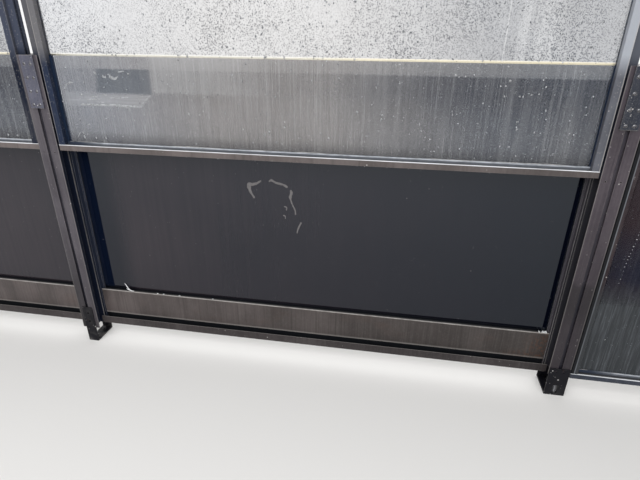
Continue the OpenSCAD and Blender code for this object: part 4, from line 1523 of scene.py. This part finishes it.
class SCREENWALL_OT_set_stage(Undoable, bpy.types.Operator):
    """Sets the camera, the pale floor, the lamps and the sky"""

    bl_idname = "screenwall.set_stage"
    bl_label = "Set stage"

    def execute(self, context):
        stage = context.scene.screen_wall_stage
        self.set_camera(context, stage)
        self.set_floor(context, stage)
        self.set_sky(context, stage)
        self.set_lamp(context, "front_lamp", (2.2, -3.4, 3.6), stage.front_power)
        self.set_lamp(context, "back_lamp", (3.4, 3.6, 3.2), stage.back_power)
        context.scene.view_settings.view_transform = "Standard"
        return {"FINISHED"}

    def set_camera(self, context, stage):
        """Puts the camera at the fitted place and angle."""
        data = bpy.data.cameras.new("wall_camera")
        data.sensor_fit = "HORIZONTAL"
        data.sensor_width = 36.0
        data.lens = stage.lens
        camera = bpy.data.objects.new("wall_camera", data)
        context.scene.collection.objects.link(camera)
        turn = Matrix.Rotation(stage.turn, 4, "Z")
        dip = Matrix.Rotation(math.radians(90.0) - stage.dip, 4, "X")
        roll = Matrix.Rotation(stage.roll, 4, "Z")
        place = Matrix.Translation((stage.camera_x, stage.camera_y, stage.camera_z))
        camera.matrix_world = place @ turn @ dip @ roll
        context.scene.camera = camera

    def set_floor(self, context, stage):
        """A plain pale floor that runs out into the pale background."""
        coat = Coat("floor_pale", stage.floor)
        far = coat.place.vector("LENGTH", output="Value").step(4.0, 12.0) * seen(light_paths(coat.tree))
        white = coat.made("ShaderNodeEmission", {"Color": (1.0, 1.0, 1.0, 1.0), "Strength": 1.0})
        plain = Amount(coat.tree, coat.surface.outputs[0])
        blend = coat.made("ShaderNodeMixShader", {0: far, 1: plain, 2: white})
        feed(coat.tree, coat.end.inputs["Surface"], blend)
        mesh = bpy.data.meshes.new("floor")
        half = 60.0
        corners = [(-half, -half, 0), (half, -half, 0), (half, half, 0), (-half, half, 0)]
        mesh.from_pydata(corners, [], [(0, 1, 2, 3)])
        floor = bpy.data.objects.new("floor", mesh)
        floor.location = (middle_of("centre_bottom_rail").x, 0.0, -0.5 * MM)
        mesh.materials.append(coat.done(Roughness=0.9))
        context.scene.collection.objects.link(floor)

    def set_sky(self, context, stage):
        """Soft even light, with white behind glass and metal."""
        world = bpy.data.worlds.new("soft_sky")
        world.use_nodes = True
        tree = world.node_tree
        tree.nodes.clear()
        strength = seen(light_paths(tree)).fade(stage.sky_level, 1.0)
        sky = put(tree, "ShaderNodeBackground", {"Color": (1.0, 1.0, 1.0, 1.0), "Strength": strength})
        put(tree, "ShaderNodeOutputWorld", {"Surface": Amount(tree, sky.outputs[0])})
        context.scene.world = world

    def set_lamp(self, context, name, spot, power):
        """A large soft lamp that looks at the middle of the wall."""
        data = bpy.data.lights.new(name, "AREA")
        data.shape = "RECTANGLE"
        data.size, data.size_y = 5.0, 3.0
        data.energy = power
        lamp = bpy.data.objects.new(name, data)
        lamp.location = spot
        lamp.rotation_mode = "QUATERNION"
        aim = Vector((2.6, 0.0, 0.6)) - Vector(spot)
        lamp.rotation_quaternion = aim.to_track_quat("-Z", "Y")
        context.scene.collection.objects.link(lamp)


class SCREENWALL_PT_sidebar(bpy.types.Panel):
    """Lists the wall's finishes, fittings and stage"""

    bl_idname = "SCREENWALL_PT_sidebar"
    bl_label = "Screen wall"
    bl_space_type = "VIEW_3D"
    bl_region_type = "UI"
    bl_category = "Screen wall"

    def draw(self, context):
        for heading, makers in MAKERS.items():
            column = self.layout.column(align=True)
            column.label(text=heading)
            for maker in makers:
                column.operator(maker.bl_idname)
        for heading, path in zip(("Colours", "Fixings", "Weather", "Stage"), GROUPS):
            group = getattr(context.scene, path)
            column = self.layout.column(align=True)
            column.label(text=heading)
            for name in group.__annotations__:
                column.prop(group, name)


GROUPS = {
    "screen_wall_colours": ScreenWallColours,
    "screen_wall_fixings": ScreenWallFixings,
    "screen_wall_weather": ScreenWallWeather,
    "screen_wall_stage": ScreenWallStage,
}

MAKERS = {
    "Finishes": (
        SCREENWALL_OT_finish_posts,
        SCREENWALL_OT_finish_plates,
        SCREENWALL_OT_finish_rails,
        SCREENWALL_OT_finish_sashes,
        SCREENWALL_OT_finish_shoes,
        SCREENWALL_OT_finish_rubber,
        SCREENWALL_OT_finish_glass,
    ),
    "Fittings": (
        SCREENWALL_OT_add_screws,
        SCREENWALL_OT_add_anchors,
        SCREENWALL_OT_add_levelling_nuts,
        SCREENWALL_OT_add_sealant,
        SCREENWALL_OT_add_rain,
        SCREENWALL_OT_add_smears,
        SCREENWALL_OT_add_scuffs,
        SCREENWALL_OT_add_scraps,
    ),
    "Stage": (SCREENWALL_OT_set_stage,),
}

ALL_MAKERS = [maker for makers in MAKERS.values() for maker in makers]
CLASSES = (*GROUPS.values(), *ALL_MAKERS, SCREENWALL_PT_sidebar)


def register():
    """Adds the wall's tools to Blender."""
    for kind in CLASSES:
        bpy.utils.register_class(kind)
    for name, group in GROUPS.items():
        setattr(bpy.types.Scene, name, PointerProperty(type=group))


def unregister():
    """Takes the wall's tools out of Blender."""
    for name in GROUPS:
        delattr(bpy.types.Scene, name)
    for kind in reversed(CLASSES):
        bpy.utils.unregister_class(kind)


def main():
    """Finishes the wall, adds its fittings and sets the stage."""
    register()
    bpy.ops.screenwall.finish_posts()
    bpy.ops.screenwall.finish_plates()
    bpy.ops.screenwall.finish_rails()
    bpy.ops.screenwall.finish_sashes()
    bpy.ops.screenwall.finish_shoes()
    bpy.ops.screenwall.finish_rubber()
    bpy.ops.screenwall.finish_glass()
    bpy.ops.screenwall.add_screws()
    bpy.ops.screenwall.add_anchors()
    bpy.ops.screenwall.add_levelling_nuts()
    bpy.ops.screenwall.add_sealant()
    bpy.ops.screenwall.add_rain()
    bpy.ops.screenwall.add_smears()
    bpy.ops.screenwall.add_scuffs()
    bpy.ops.screenwall.add_scraps()
    bpy.ops.screenwall.set_stage()


if __name__ == "__main__":
    main()
